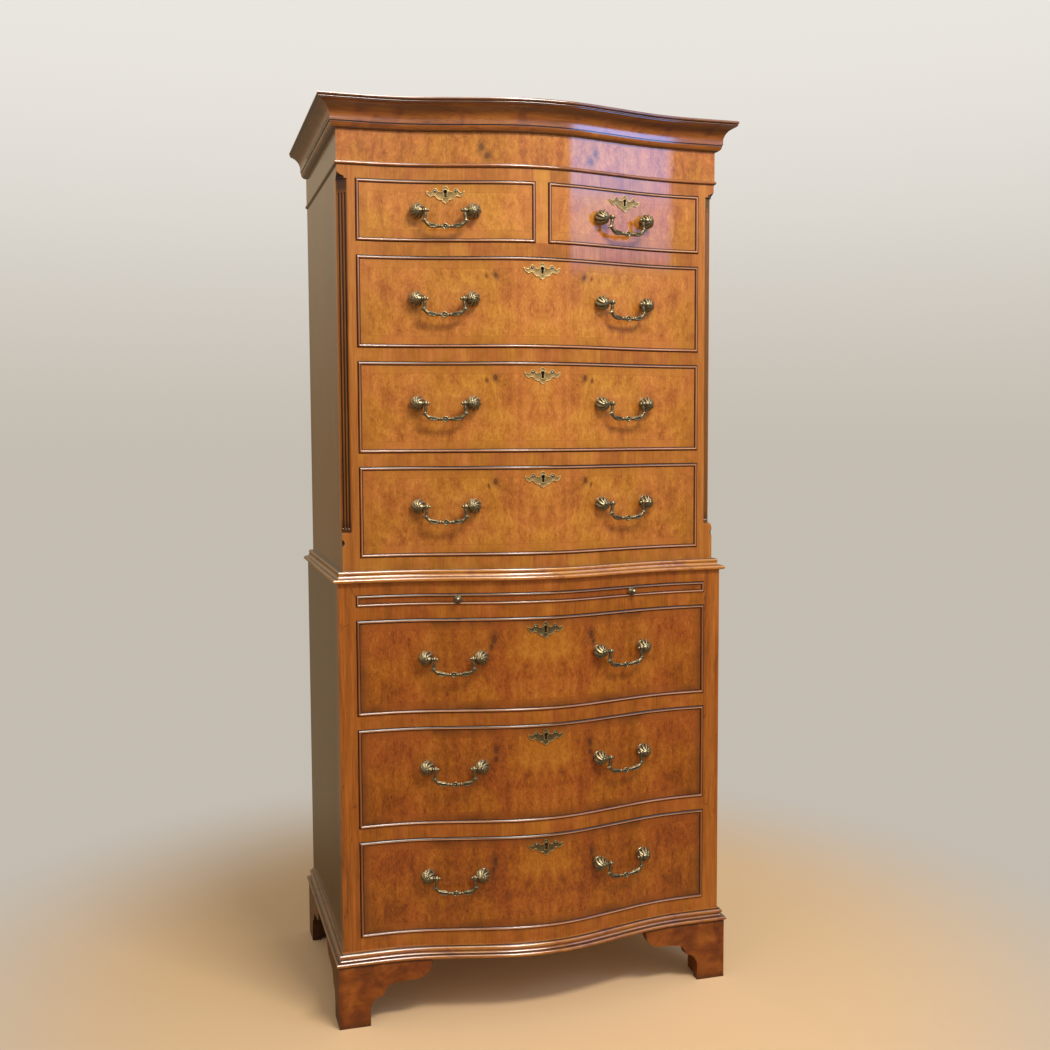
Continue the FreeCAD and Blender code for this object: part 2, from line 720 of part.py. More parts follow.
def bead_frame(offset, x0, x1, z0, z1, width):
    """Four cock beads round a front, mitred at the corners."""
    strip = horizontal_bead(width, offset)

    def trimmed(shape, corners):
        wire = Part.makePolygon([Vector(x, -300, z) for x, z in corners + corners[:1]])
        return shape.common(Part.Face(wire).extrude(Vector(0, 600, 0)))

    def upright(x_left, x_right):
        middle = (x_left + x_right) / 2
        left = (x_left, front_y(x_left, offset))
        right = (x_right, front_y(x_right, offset))
        nose = Vector(middle, front_y(middle, offset) - bead_nose, 0)
        arc = Part.Arc(Vector(left[0], left[1], 0), nose, Vector(right[0], right[1], 0)).toShape()
        deep = offset - bead_depth
        edges = front_edges(deep, x_left, x_right)
        edges += [arc, line(left, (x_left, front_y(x_left, deep))),
                  line(right, (x_right, front_y(x_right, deep)))]
        return extruded(edges, z0, z1)

    inner = (x0 + width, x1 - width, z0 + width, z1 - width)
    low = strip.copy()
    low.translate(Vector(0, 0, z0))
    high = strip.copy()
    high.translate(Vector(0, 0, z1 - width))
    return [
        trimmed(low, [(x0, z0), (x1, z0), (inner[1], inner[2]), (inner[0], inner[2])]),
        trimmed(high, [(x0, z1), (x1, z1), (inner[1], inner[3]), (inner[0], inner[3])]),
        trimmed(upright(x0, inner[0]), [(x0, z0), (inner[0], inner[2]), (inner[0], inner[3]), (x0, z1)]),
        trimmed(upright(inner[1], x1), [(x1, z0), (inner[1], inner[2]), (inner[1], inner[3]), (x1, z1)])]


def drawer_front(offset, x0, x1, z0, z1, width):
    """Front board, rebated for its beads."""
    face = front_band(offset, offset - bead_depth, x0 + width, x1 - width, z0 + width, z1 - width)
    body = front_band(offset - bead_depth, offset - front_thickness, x0, x1, z0, z1)
    return face.fuse(body).removeSplitter()


def drawer_box(offset, x0, x1, z0, z1):
    """Sides, back and bottom behind the front."""
    low = z0 - drawer_gap + running_gap
    high = z1 - side_drop
    back = inside_back - drawer_end_gap
    inner_offset = offset - front_thickness
    sides = []
    for a, b in ((x0, x0 + drawer_side), (x1 - drawer_side, x1)):
        sides.append(front_slab(inner_offset, back, a, b, low, high))
    inner = (x0 + drawer_side, x1 - drawer_side)
    foot = low + bottom_rise
    rear = block(inner[0], inner[1], back - drawer_back, back, foot + drawer_bottom, high - 6)
    bottom = front_slab(inner_offset, back, inner[0], inner[1], foot, foot + drawer_bottom)
    return sides + [rear, bottom]


def handle_posts(offset, x, z, board):
    """Two bosses with pivots, bolts and nuts for one handle; also the bolt holes."""
    middle, angle = handle_frame(x, offset)
    posts = []
    nuts = []
    holes = []
    for side in (-1, 1):
        boss = placed(post_boss(), 0, 0, 0, 0).fuse(pivot(-side))
        along = Vector(side * post_spacing / 2, 0, 0)
        boss.translate(along)
        boss = placed(boss, middle.x, middle.y, angle, z).cut(board)
        bolt = Part.makeCylinder(bolt_radius, front_thickness + nut_thickness + 3, along, Vector(0, 1, 0))
        stub = Part.makeCylinder(bolt_radius, 6, along + Vector(0, -5, 0), Vector(0, 1, 0))
        bolt = placed(bolt.fuse(stub), middle.x, middle.y, angle, z)
        posts.append(boss.fuse(bolt).removeSplitter())
        ring = nut()
        ring.translate(along)
        nuts.append(placed(ring, middle.x, middle.y, angle, z))
        hole = Part.makeCylinder(bolt_radius + bolt_clearance, front_thickness + 10,
                                 along + Vector(0, -5, 0), Vector(0, 1, 0))
        holes.append(placed(hole, middle.x, middle.y, angle, z))
    return posts + nuts, holes


def drawer_table():
    """Every drawer: name, offset of its front, left and right of its opening, level, handles."""
    half = divider_width / 2
    left = (-upper_opening_half, -half)
    right = (half, upper_opening_half)
    rows = [
        ("short_drawer_left", -upper_inset, left, "short", {"": short_handle_places[0]}),
        ("short_drawer_right", -upper_inset, right, "short", {"": short_handle_places[1]})]
    cases = (("upper", -upper_inset, upper_opening_half, upper_handle_places),
             ("lower", 0.0, lower_opening_half, lower_handle_places))
    for case, offset, opening_half, places in cases:
        span = (-opening_half, opening_half)
        handles = dict(zip(("_left", "_right"), places))
        for place, number in (("top", 1), ("middle", 2), ("bottom", 3)):
            level = case + "_" + str(number)
            rows.append((case + "_drawer_" + place, offset, span, level, handles))
    return rows


def drawer(name, offset, span, level, handles):
    """Nodes of one drawer and of its bails."""
    z_foot, z_head = levels[level]
    pivot_z = z_foot + handle_rises[level]
    x0 = span[0] + drawer_gap
    x1 = span[1] - drawer_gap
    z0 = z_foot + drawer_gap
    z1 = z_head - drawer_gap
    board = drawer_front(offset, x0, x1, z0, z1, bead_width)
    nodes = {}
    fittings = []
    cuts = []
    for suffix, x in handles.items():
        posts, holes = handle_posts(offset, x, pivot_z, board)
        fittings += posts
        cuts += holes
        middle, angle = handle_frame(x, offset)
        nodes[name + "_bail" + suffix] = [placed(bail(), middle.x, middle.y, angle, pivot_z)]
    x = (span[0] + span[1]) / 2
    key_z = z_head - keyhole_drop
    place = (x, front_y(x, offset), front_angle(x, offset), key_z)
    pins = [placed(plate_pin(side), *place) for side in (-1, 1)]
    plate = escutcheon(x, offset, key_z).cut(pins[0]).cut(pins[1])
    case = placed(lock(), x, place[1], place[2], z1 - lock_drop)
    fittings += [plate, case] + pins
    cuts += pins + [case, placed(keyhole(front_thickness + 6), *place)]
    board = board.cut(cuts)
    nodes[name + "_front"] = [board] + bead_frame(offset, x0, x1, z0, z1, bead_width)
    nodes[name + "_box"] = drawer_box(offset, x0, x1, z0, z1)
    nodes[name + "_fittings"] = fittings
    return nodes


def slide_knob():
    """Small round knob on a flange that stands just clear of the beads."""
    r = slide_knob_radius
    seat = bead_nose + running_gap
    points = [
        (0, 0), (0, r), (seat, r), (seat, slide_knob_flange - 0.8), (seat + 0.6, slide_knob_flange),
        (seat + 1.4, slide_knob_flange - 0.6), (seat + 2.2, 3.6), (seat + 4, 3), (seat + 6, r - 0.8),
        (seat + 8.2, r), (seat + 10.6, r - 0.9), (slide_knob_length, r - 3.2), (slide_knob_length, 0)]
    stem = Part.makeCylinder(bolt_radius, 14, Vector(0, -2, 0), Vector(0, 1, 0))
    return revolved_boss(points).fuse(stem)


def brushing_slide():
    """Board with a beaded front edge and two knobs."""
    z_foot, z_head = levels["slide"]
    half = lower_opening_half - drawer_gap
    z0 = z_foot + running_gap
    z1 = z_head - drawer_gap
    lipping = drawer_front(0, -half, half, z0, z1, slide_bead_width)
    board = front_slab(-front_thickness, inside_back - slide_end_gap, -half, half, z0, z1)
    knobs = []
    for x in slide_knob_places:
        knob = placed(slide_knob(), x, front_y(x, 0), front_angle(x, 0), (z0 + z1) / 2)
        lipping = lipping.cut(knob)
        knobs.append(knob)
    beads = bead_frame(0, -half, half, z0, z1, slide_bead_width)
    return {"brushing_slide_board": [board, lipping] + beads, "brushing_slide_knobs": knobs}


def write(node, solids):
    shape = Part.makeCompound(solids)
    shape.translate(Vector(0, shift_y, 0))
    if not shape.isValid():
        print("not valid:", node)
    shape.exportStep("parts/" + node + ".step")
    print(node, len(shape.Solids), "solids")


def main():
    os.makedirs("parts", exist_ok=True)
    nodes = carcass()
    for row in drawer_table():
        nodes.update(drawer(*row))
    nodes.update(brushing_slide())
    for node, solids in nodes.items():
        write(node, solids)
    print(len(nodes), "nodes")


if __name__ == "__main__":
    main()
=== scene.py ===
import math

import bpy
from mathutils import Matrix, Vector


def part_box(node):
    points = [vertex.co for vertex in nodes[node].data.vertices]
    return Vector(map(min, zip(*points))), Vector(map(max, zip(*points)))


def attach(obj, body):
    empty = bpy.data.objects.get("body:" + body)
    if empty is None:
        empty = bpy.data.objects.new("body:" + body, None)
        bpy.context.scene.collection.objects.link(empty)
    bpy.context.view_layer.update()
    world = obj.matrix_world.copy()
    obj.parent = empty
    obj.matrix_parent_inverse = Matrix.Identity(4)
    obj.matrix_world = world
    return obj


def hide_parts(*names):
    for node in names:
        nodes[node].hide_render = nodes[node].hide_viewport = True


# Serpentine-fronted chest on chest. Metres, +Z up, the front faces -Y.

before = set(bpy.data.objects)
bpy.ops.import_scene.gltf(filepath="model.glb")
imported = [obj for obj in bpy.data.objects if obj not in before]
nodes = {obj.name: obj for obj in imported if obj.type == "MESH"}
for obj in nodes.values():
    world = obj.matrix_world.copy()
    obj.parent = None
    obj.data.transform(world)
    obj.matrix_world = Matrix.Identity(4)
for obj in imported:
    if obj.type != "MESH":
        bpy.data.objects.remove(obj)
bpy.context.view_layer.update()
bpy.ops.object.select_all(action="DESELECT")
print("frame loaded:", len(nodes), "nodes")


cameraSettings = {
    "eye": (-0.698, -2.46288, 1.13325),
    "turn": 0.28452,        # to the right of straight ahead
    "pitch": -0.07471,
    "roll": -0.00519,
    "lens": 41.71,
    "shift": (0.0058, 0.0)}


def setCamera(settings):
    bpy.ops.object.camera_add()
    camera = bpy.context.object
    camera.name = "viewCamera"
    turn = Matrix.Rotation(-settings["turn"], 4, "Z")
    pitch = Matrix.Rotation(math.pi / 2 + settings["pitch"], 4, "X")
    roll = Matrix.Rotation(settings["roll"], 4, "Z")
    camera.matrix_world = Matrix.Translation(settings["eye"]) @ turn @ pitch @ roll
    camera.data.lens = settings["lens"]
    camera.data.sensor_width = 36
    camera.data.shift_x, camera.data.shift_y = settings["shift"]
    bpy.context.scene.camera = camera


setCamera(cameraSettings)


# one shader node, in the given tree or in that of the sockets it reads; gives back its output socket
def put(kind, values=None, pick=0, tree=None, **settings):
    if not tree:
        tree = next(value.id_data for value in values.values() if isinstance(value, bpy.types.NodeSocket))
    made = tree.nodes.new("ShaderNode" + kind)
    for name, value in settings.items():
        setattr(made, name, value)
    for key, value in (values or {}).items():
        socket = made.inputs[key]
        if isinstance(value, bpy.types.NodeSocket):
            tree.links.new(value, socket)
        else:
            socket.default_value = (*value, 1) if socket.type == "RGBA" else value
    return made.outputs[pick]


def calc(operation, *values):
    return put("Math", dict(enumerate(values)), operation=operation)


def plus(first, second):
    return calc("ADD", first, second)


def minus(first, second):
    return calc("SUBTRACT", first, second)


def times(first, second):
    return calc("MULTIPLY", first, second)


def plusTimes(base, value, gain):
    return calc("MULTIPLY_ADD", value, gain, base)


def size(value):
    return calc("ABSOLUTE", value)


# how far a value is from the middle, either way
def offFrom(value, middle):
    return size(minus(value, middle))


def most(first, second):
    return calc("MAXIMUM", first, second)


def least(first, second):
    return calc("MINIMUM", first, second)


def vector(x, y, z):
    return put("CombineXYZ", {0: x, 1: y, 2: z})


def calcVector(operation, *values, pick=0):
    return put("VectorMath", dict(enumerate(values)), pick, operation=operation)


def stretch(place, x, y, z):
    return calcVector("MULTIPLY", place, (x, y, z))


def split(place):
    return put("SeparateXYZ", {0: place}).node.outputs


def ownPlace(tree):
    return put("TexCoord", pick=3, tree=tree)


# the three parts of the direction that the surface faces
def facing(tree):
    return split(put("NewGeometry", pick=1, tree=tree))


# 0 below low, 1 above high, eased between; start and end change the two ends
def smooth(value, low, high, start=0.0, end=1.0):
    return put("MapRange", {"Value": value, "From Min": low, "From Max": high,
                                  "To Min": start, "To Max": end}, interpolation_type="SMOOTHSTEP")


def between(amount, first, second):
    return put("Mix", {0: amount, 2: first, 3: second})


def blend(amount, first, second, how="MIX"):
    return put("Mix", {0: amount, 6: first, 7: second}, pick=2,
               data_type="RGBA", blend_type=how, clamp_factor=True)


def colourRamp(value, stops):
    socket = put("ValToRGB", {"Fac": value})
    ramp = socket.node.color_ramp
    while len(ramp.elements) < len(stops):
        ramp.elements.new(0.5)
    for element, (place, colour) in zip(ramp.elements, stops):
        element.position = place
        element.color = (*colour, 1)
    return socket


def noise(place, scale, detail=2.0, rough=0.5, bend=0.0, pick=0):
    return put("TexNoise", {"Vector": place, "Scale": scale, "Detail": detail,
                                  "Roughness": rough, "Distortion": bend}, pick)


# sum of figures, each a (value, contrast, share)
def layered(*figures):
    total = 0.0
    for value, gain, share in figures:
        total = plusTimes(total, contrast(value, gain), share)
    return total


def contrast(value, gain):
    return plusTimes(0.5 - 0.5 * gain, value, gain)


# material and its tree, with its principled shader's plain values set from the finish
def newLook(name, finish):
    material = bpy.data.materials.new(name)
    material.use_nodes = True
    tree = material.node_tree
    for key, value in finish.items():
        tree.nodes["Principled BSDF"].inputs[key].default_value = value
    return material, tree


# gives the look its colour and a bump from the height
def finished(material, colour, height=None, strength=0.1, distance=0.0005):
    tree = material.node_tree
    sockets = tree.nodes["Principled BSDF"].inputs
    tree.links.new(colour, sockets["Base Color"])
    if height:
        bump = put("Bump", {"Height": height, "Strength": strength, "Distance": distance})
        tree.links.new(bump, sockets["Normal"])
        if sockets["Coat Weight"].default_value > 0:
            tree.links.new(bump, sockets["Coat Normal"])
    return material


polish = {"Roughness": 0.45, "Specular IOR Level": 0.15, "Coat Weight": 1.0, "Coat Roughness": 0.08,
          "Coat IOR": 1.62}
waxed = dict(polish, **{"Coat Roughness": 0.16, "Coat IOR": 2.0})
bright = dict(polish, **{"Coat Roughness": 0.12, "Coat IOR": 1.8})
rubbed = {"Roughness": 0.55, "Specular IOR Level": 0.3, "Coat Weight": 0.1, "Coat Roughness": 0.35}
stainAndShade = (0.018, 0.007, 0.004)       # near-black of old dirt and dark veins, and of painted shade in quirks, gaps and hollows
jointLine = (0.10, 0.028, 0.01)
knotDark = (0.060, 0.018, 0.008)
# painted highlight on the crowns of the cock beads
beadHighlight = (0.82, 0.47, 0.25)
# painted shadow seen through a keyhole
keyholeShadow = (0.006, 0.004, 0.003)

# colours of the burr and of its crossband, by case, from the dark of the figure to its light
burrColours = {
    "upper": [(0.12, (0.185, 0.047, 0.008)), (0.36, (0.360, 0.116, 0.016)),
              (0.52, (0.480, 0.176, 0.026)), (0.68, (0.585, 0.242, 0.042)),
              (0.90, (0.690, 0.340, 0.078))],
    "lower": [(0.16, (0.080, 0.016, 0.003)), (0.38, (0.200, 0.046, 0.005)),
              (0.52, (0.290, 0.075, 0.007)), (0.66, (0.375, 0.112, 0.011)),
              (0.86, (0.470, 0.175, 0.024))]}
bandColours = {
    "upper": [(0.12, (0.310, 0.095, 0.015)), (0.5, (0.455, 0.160, 0.023)), (0.88, (0.560, 0.225, 0.038))],
    "lower": [(0.12, (0.175, 0.040, 0.005)), (0.5, (0.290, 0.076, 0.008)), (0.88, (0.375, 0.115, 0.014))]}


# figure of the burr as a value round 0.5, dark where it's low; also the dark of the knots and the tint
def burrFigure(place, knots):
    drift = noise(place, 16.0, pick=1)
    drift = calcVector("SUBTRACT", drift, (0.5, 0.5, 0.5))
    curled = calcVector("MULTIPLY_ADD", drift, (0.024, 0.024, 0.024), place)
    column = noise(stretch(curled, 1.0, 1.0, 0.24), 66.0, 3.0, 0.55, 0.3)
    cloud = noise(place, 15.0, 2.0, 0.5, 0.4)
    burr = noise(stretch(curled, 1.0, 1.0, 0.75), 74.0, 5.0, 0.72, 0.5)
    fine = noise(stretch(curled, 1.0, 1.0, 0.42), 360.0, 3.0, 0.70, 0.6)
    value = layered((column, 1.9, 0.26), (cloud, 1.8, 0.22), (burr, 2.2, 0.28), (fine, 2.8, 0.24))
    streak = put("TexVoronoi", {"Vector": stretch(curled, 1.0, 1.0, 0.4), "Scale": 210.0})
    streak = smooth(streak, 0.08, 0.26, 1.0, 0.0)
    streak = times(streak, smooth(column, 0.52, 0.40))
    value = plusTimes(value, streak, -0.16)
    dark = 0.0
    twist = calcVector("MULTIPLY_ADD", drift, (0.016, 0, 0.016), place)
    for knotX, knotZ, radius in knots:
        spot = calcVector("SUBTRACT", twist, (knotX, 0, knotZ))
        away = calcVector("LENGTH", stretch(spot, 1.2, 0.0, 0.8), pick=1)
        ring = smooth(offFrom(away, radius * 0.8), 0.0, radius * 0.4, 1.0, 0.0)
        heart = smooth(away, radius * 0.15, radius * 0.6, 1.0, 0.62)
        halo = smooth(away, radius * 0.9, radius * 3.2, 0.45, 0.0)
        heart = times(heart, smooth(away, radius, radius * 1.1, 1.0, 0.0))
        dark = most(dark, most(most(ring, heart), halo))
    tint = noise(stretch(curled, 1.0, 1.0, 0.6), 17.0, 3.0, 0.5, 0.3)
    return value, dark, tint


# foxy red where the tint is low, golden where it's high
def tinted(colour, tint):
    shade = blend(smooth(tint, 0.34, 0.66), (1.02, 0.95, 1.15), (0.99, 1.05, 0.80))
    return blend(1.0, colour, shade, "MULTIPLY")


# value of a band whose grain runs along `along`: streaks across it, in leaves of 60 to 90 mm
def crossGrain(across, along, seed):
    spot = vector(across, times(along, 0.06), seed)
    lines = noise(spot, 300.0, 3.0, 0.6, 0.3)
    wide = noise(spot, 38.0)
    leaf = put("TexVoronoi", {"W": plus(across, seed), "Scale": 14.0}, pick=1,
               voronoi_dimensions="1D")
    blot = noise(vector(across, along, seed), 48.0, 3.0, 0.6, 0.6)
    value = layered((lines, 1.8, 0.30), (wide, 1.8, 0.28), (blot, 2.0, 0.26))
    return plusTimes(value, split(leaf)[0], 0.16)


# value of a board with its grain along `along`, wandering a little
def straightGrain(across, depth, along, seed):
    spot = vector(across, depth, times(along, 0.05))
    spot = calcVector("ADD", spot, (seed, seed * 2, seed * 3))
    fine = noise(spot, 400.0, 3.0, 0.6, 0.2)
    wide = noise(spot, 60.0, 2.0, 0.5, 0.8)
    cloud = noise(vector(across, depth, times(along, 0.3)), 9.0)
    return layered((fine, 1.8, 0.36), (wide, 1.9, 0.40), (cloud, 1.9, 0.24))


# book-matched burr with a mitred crossband, cock beads round it and plain wood behind
def drawerFrontLook(name, low, high, case, settings):
    material, tree = newLook(name, polish)
    place = ownPlace(tree)
    x, y, z = split(place)
    spot = vector(size(plus(x, 0.0004)), settings["leaf"],
                  minus(z, (low.z + high.z) / 2))
    value, dark, tint = burrFigure(spot, settings["knots"])
    # how light the front is, partly the veneer's own tone and partly painted light and shade, with painted
    # light pooled in its middle
    toneAndLight = settings["toneAndLight"]
    middle = smooth(size(x), 0.0, 0.16, toneAndLight + 0.07, toneAndLight)
    value = plus(value, middle)
    head = minus(high.z, z)
    side = least(minus(x, low.x), minus(high.x, x))
    level = least(minus(z, low.z), head)
    inwards = least(side, level)
    burr = colourRamp(value, burrColours[case])
    # crossband
    seed = settings["leaf"] * 40
    isSide = smooth(minus(level, side), -0.0003, 0.0003)
    band = between(isSide, crossGrain(x, z, seed), crossGrain(z, x, seed + 3))
    band = colourRamp(plus(band, middle), bandColours[case])
    band = blend(0.45, band, burr)
    beadWidth = settings["bead"]
    edge = beadWidth + settings["band"]
    colour = blend(smooth(inwards, edge + 0.0002, edge - 0.0002), burr, band)
    colour = tinted(colour, tint)
    line = smooth(offFrom(inwards, edge), 0.0001, 0.0007, 0.30, 0.0)
    colour = blend(line, colour, jointLine)
    shade = smooth(inwards, beadWidth, beadWidth + settings["shadeWidth"], settings["shade"], 0.0)
    shade = times(shade, smooth(tint, 0.38, 0.62, 0.2, 1.0))
    colour = blend(shade, colour, (0.075, 0.022, 0.006))
    if settings["knots"]:
        inside = smooth(inwards, edge, edge + 0.001, 0.0, 0.92)
        colour = blend(times(dark, inside), colour, knotDark)
    # painted shadow in the keyhole, on the wood behind the plate
    if settings["keyhole"]:
        keyX, keyZ = settings["keyhole"]
        hole = smooth(offFrom(x, keyX), 0.0055, 0.0045)
        hole = times(hole, smooth(z, keyZ - 0.0085, keyZ - 0.0080))
        hole = times(hole, smooth(z, keyZ + 0.0085, keyZ + 0.0080))
        colour = blend(hole, colour, keyholeShadow)
    # cock bead with a painted highlight along its crown, painted shade and dirt in its groove, and painted
    # shadow in the gap outside it
    bead = straightGrain(inwards, y, plus(x, z), 5.0)
    bead = colourRamp(bead, settings["beadColours"])
    crown = offFrom(inwards, beadWidth * 0.55)
    # painted highlight along the bead's crown, stronger on the level beads that face the light
    wearAndHighlight = smooth(noise(place, 9.0), 0.35, 0.6, 0.45, 0.75)
    wearAndHighlight = times(wearAndHighlight, plusTimes(1.0, isSide, settings["upright"]))
    wearAndHighlight = times(wearAndHighlight, smooth(crown, 0.0002, 0.0011, 1.0, 0.0))
    bead = blend(wearAndHighlight, bead, beadHighlight)
    colour = blend(smooth(inwards, beadWidth + 0.0002, beadWidth), colour, bead)
    # painted shade and dirt in the groove inside the bead, and painted shadow in the gap outside it, widest
    # under the head
    grooveDirtAndShade = smooth(offFrom(inwards, beadWidth + 0.0003), 0.0004, 0.0011, 0.92, 0.0)
    gapShadow = least(inwards, times(head, 0.42))
    gapShadow = smooth(gapShadow, 0.0005, 0.0012, 0.95, 0.0)
    colour = blend(most(grooveDirtAndShade, gapShadow), colour, stainAndShade)
    # edges and back of the board
    plain = colourRamp(straightGrain(z, y, x, 9.0), plainWalnut)
    colour = blend(smooth(facing(tree)[1], -0.25, -0.10), colour, plain)
    return finished(material, colour, plusTimes(value, tint, 3.0), 0.10, 0.0006)


plainWalnut = [(0.3, (0.11, 0.042, 0.016)), (0.7, (0.24, 0.098, 0.038))]
frontSettings = {
    "bead": 0.0055,
    "band": 0.016,
    "shadeWidth": 0.020,
    "shade": 0.12,
    "leaf": 0.0,             # which sheet of veneer
    "toneAndLight": 0.0,
    "knots": [],
    "upright": -0.4,         # how much less painted highlight the upright beads get
    "keyhole": None,
    "beadColours": [(0.2, (0.120, 0.030, 0.008)), (0.8, (0.290, 0.085, 0.020))]}
caseSettings = {
    "upper": {"shade": 0.12, "upright": -0.4, "offset": -0.012},
    "lower": {"shade": 0.60, "upright": -0.75, "offset": 0.0}}

# each drawer's case, leaf of veneer, how much lighter it is than its fellows (partly its veneer's own tone and
# partly painted light and shade), the x of its keyhole, and its knots from the middle of the front as (x, z,
# radius)
drawerVeneers = {
    "short_drawer_left": ("upper", 0.010, 0.03, -0.1785, []),
    "short_drawer_right": ("upper", 0.0115, -0.04, 0.1785, []),
    "upper_drawer_top": ("upper", 0.020, 0.0, 0.0, [(0.0855, 0.051, 0.0045), (0.106, 0.050, 0.0022)]),
    "upper_drawer_middle": ("upper", 0.0212, -0.01, 0.0, [(0.0870, 0.057, 0.0050), (0.107, 0.052, 0.0026)]),
    "upper_drawer_bottom": ("upper", 0.0224, -0.05, 0.0, [(0.0880, 0.057, 0.0048), (0.104, 0.049, 0.0022)]),
    "lower_drawer_top": ("lower", 0.050, 0.08, 0.0, [(0.0966, 0.050, 0.0070), (0.102, 0.0366, 0.0038)]),
    "lower_drawer_middle": ("lower", 0.0512, 0.04, 0.0, [(0.0925, 0.048, 0.0058), (0.0945, 0.030, 0.0042)]),
    "lower_drawer_bottom": ("lower", 0.0524, 0.0, 0.0, [(0.0973, 0.045, 0.0060), (0.101, 0.0288, 0.0040)])}
keyBelowFront = 0.0245       # keyhole below the top of the front


def giveLook(name, material):
    for place in nodes[name].material_slots:
        place.material = material


for body, (case, leaf, toneAndLight, keyX, knots) in drawerVeneers.items():
    low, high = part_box(body + "_front")
    settings = dict(frontSettings, leaf=leaf, toneAndLight=toneAndLight, knots=knots, keyhole=(keyX, high.z - keyBelowFront),
                    shade=caseSettings[case]["shade"], upright=caseSettings[case]["upright"])
    giveLook(body + "_front", drawerFrontLook(body + "Veneer", low, high, case, settings))

print("drawer fronts finished")


# wood with dark lines in its quirks, painted shade there and dirt, each (height, half width, strength), and a
# painted shade between two heights; heights are above the foot
def lined(colour, z, foot, lines, shade):
    for height, halfWidth, strength in lines:
        off = offFrom(z, foot + height)
        colour = blend(smooth(off, halfWidth * 0.4, halfWidth * 1.3, strength, 0.0), colour, stainAndShade)
    if shade:
        low, high, strength = shade
        colour = blend(smooth(z, foot + low, foot + high, 0.0, strength), colour, (0.045, 0.016, 0.006))
    return colour


# plain wood with its grain along one axis: turn says which of x, y, z that is
def boardLook(name, colours, finish, turn, seed, bump=0.1, vein=0.0):
    material, tree = newLook(name, finish)
    axes = list(split(ownPlace(tree)))
    along = axes.pop(turn)
    value = straightGrain(axes[0], axes[1], along, seed)
    colour = colourRamp(value, colours)
    if vein:
        spot = vector(times(axes[0], 1.6), seed, times(along, 0.16))
        drift = noise(spot, 30.0, 1.5, 0.5, 1.2)
        band = offFrom(calc("FRACT", times(drift, 5.0)), 0.5)
        colour = blend(smooth(band, 0.045, 0.0, 0.0, vein), colour, stainAndShade)
    return finished(material, colour, value, bump)


# rails with their grain upright; upright gives the half width and the foot of a lighter piece
def crossbandLook(name, colours, finish, seed, upright=None):
    material, tree = newLook(name, finish)
    x, y, z = split(ownPlace(tree))
    value = crossGrain(x, z, seed)
    if upright:
        halfWidth, foot = upright
        lighter = smooth(size(x), halfWidth, halfWidth - 0.001)
        lighter = times(lighter, smooth(z, foot, foot + 0.001))
        value = plusTimes(value, lighter, 0.30)
    tint = noise(vector(x, times(z, 0.4), seed), 30.0)
    return finished(material, tinted(colourRamp(value, colours), tint), value)


mitre = {"x": 0.390, "y": -0.201087}       # where a moulding turns the corner


# grain along the length: x at the front, y on the returns; mottle mixes in a cloudy figure, and the last
# argument paints shade on the faces that look to the front behind the front pieces
def mouldingLook(name, colours, finish, seed, foot, lines, shade=None, mottle=0.0, rearShade=0.0):
    material, tree = newLook(name, finish)
    place = ownPlace(tree)
    x, y, z = split(place)
    out = minus(size(x), mitre["x"])
    isSide = smooth(plus(out, plus(y, -mitre["y"])), -0.0002, 0.0002)
    value = between(isSide, straightGrain(z, y, x, seed), straightGrain(z, x, y, seed + 4))
    if mottle:
        cloud = noise(place, 22.0, 5.0, 0.62, 0.6)
        value = between(mottle, value, contrast(cloud, 1.5))
    blot = noise(vector(plus(x, y), z, seed), 26.0, 3.0, 0.6, 0.5)
    colour = tinted(colourRamp(value, colours), blot)
    colour = blend(smooth(blot, 0.50, 0.36, 0.0, 0.35), colour, (0.060, 0.016, 0.005))
    colour = lined(colour, z, foot, lines, shade)
    if rearShade:
        # painted shade on the faces that look to the front, behind the front pieces
        inner = smooth(facing(tree)[1], -0.3, -0.6, 0.0, rearShade)
        colour = blend(times(inner, smooth(y, 0.0, 0.02)), colour, stainAndShade)
    return finished(material, colour, value, 0.06)


# corner posts: painted shade in the flutes, on the canted face and round the shaped stops
postSettings = {
    "faceX": 0.3685,
    "faceY": -0.179587,
    "halfWidth": 0.0116,
    "sink": 0.002,
    "fluteTop": 1.577,
    "head": 1.604,
    "fluteFoot": 0.958,
    "ledge": 0.950,
    "topStop": (1.6095, 0.0065),
    "notch": (0.930, 0.0070)}


def postLook(name, colours, finish, seed, settings):
    material, tree = newLook(name, finish)
    x, y, z = split(ownPlace(tree))
    colour = colourRamp(straightGrain(x, y, z, seed), colours)
    acrossX = minus(size(x), settings["faceX"])
    acrossY = minus(y, settings["faceY"])
    depth = times(minus(acrossY, acrossX), math.sqrt(0.5))
    along = times(size(plus(acrossX, acrossY)), math.sqrt(0.5))
    onFace = smooth(along, settings["halfWidth"], settings["halfWidth"] - 0.0006)
    flute = smooth(depth, 0.0002, settings["sink"] * 0.75, 0.0, 0.93)
    top, foot = settings["fluteTop"], settings["fluteFoot"]
    face = smooth(z, top - 0.003, top + 0.012, 0.40, 0.82)
    face = most(face, smooth(z, foot + 0.030, foot, 0.25, 0.70))
    face = times(face, smooth(z, settings["head"] + 0.0003, settings["head"]))
    face = times(face, smooth(z, settings["ledge"] - 0.0003, settings["ledge"]))
    postShade = times(most(flute, face), onFace)
    # painted shade in the hollows of the stops: every face that looks neither to the front nor to the side
    normal = facing(tree)
    leaning = smooth(most(size(normal[0]), size(normal[1])), 0.995, 0.94)
    for middle, halfHeight in (settings["topStop"], settings["notch"]):
        hollow = smooth(offFrom(z, middle), halfHeight, halfHeight * 0.8, 0.0, 0.96)
        postShade = most(postShade, times(leaning, hollow))
    return finished(material, blend(postShade, colour, stainAndShade))


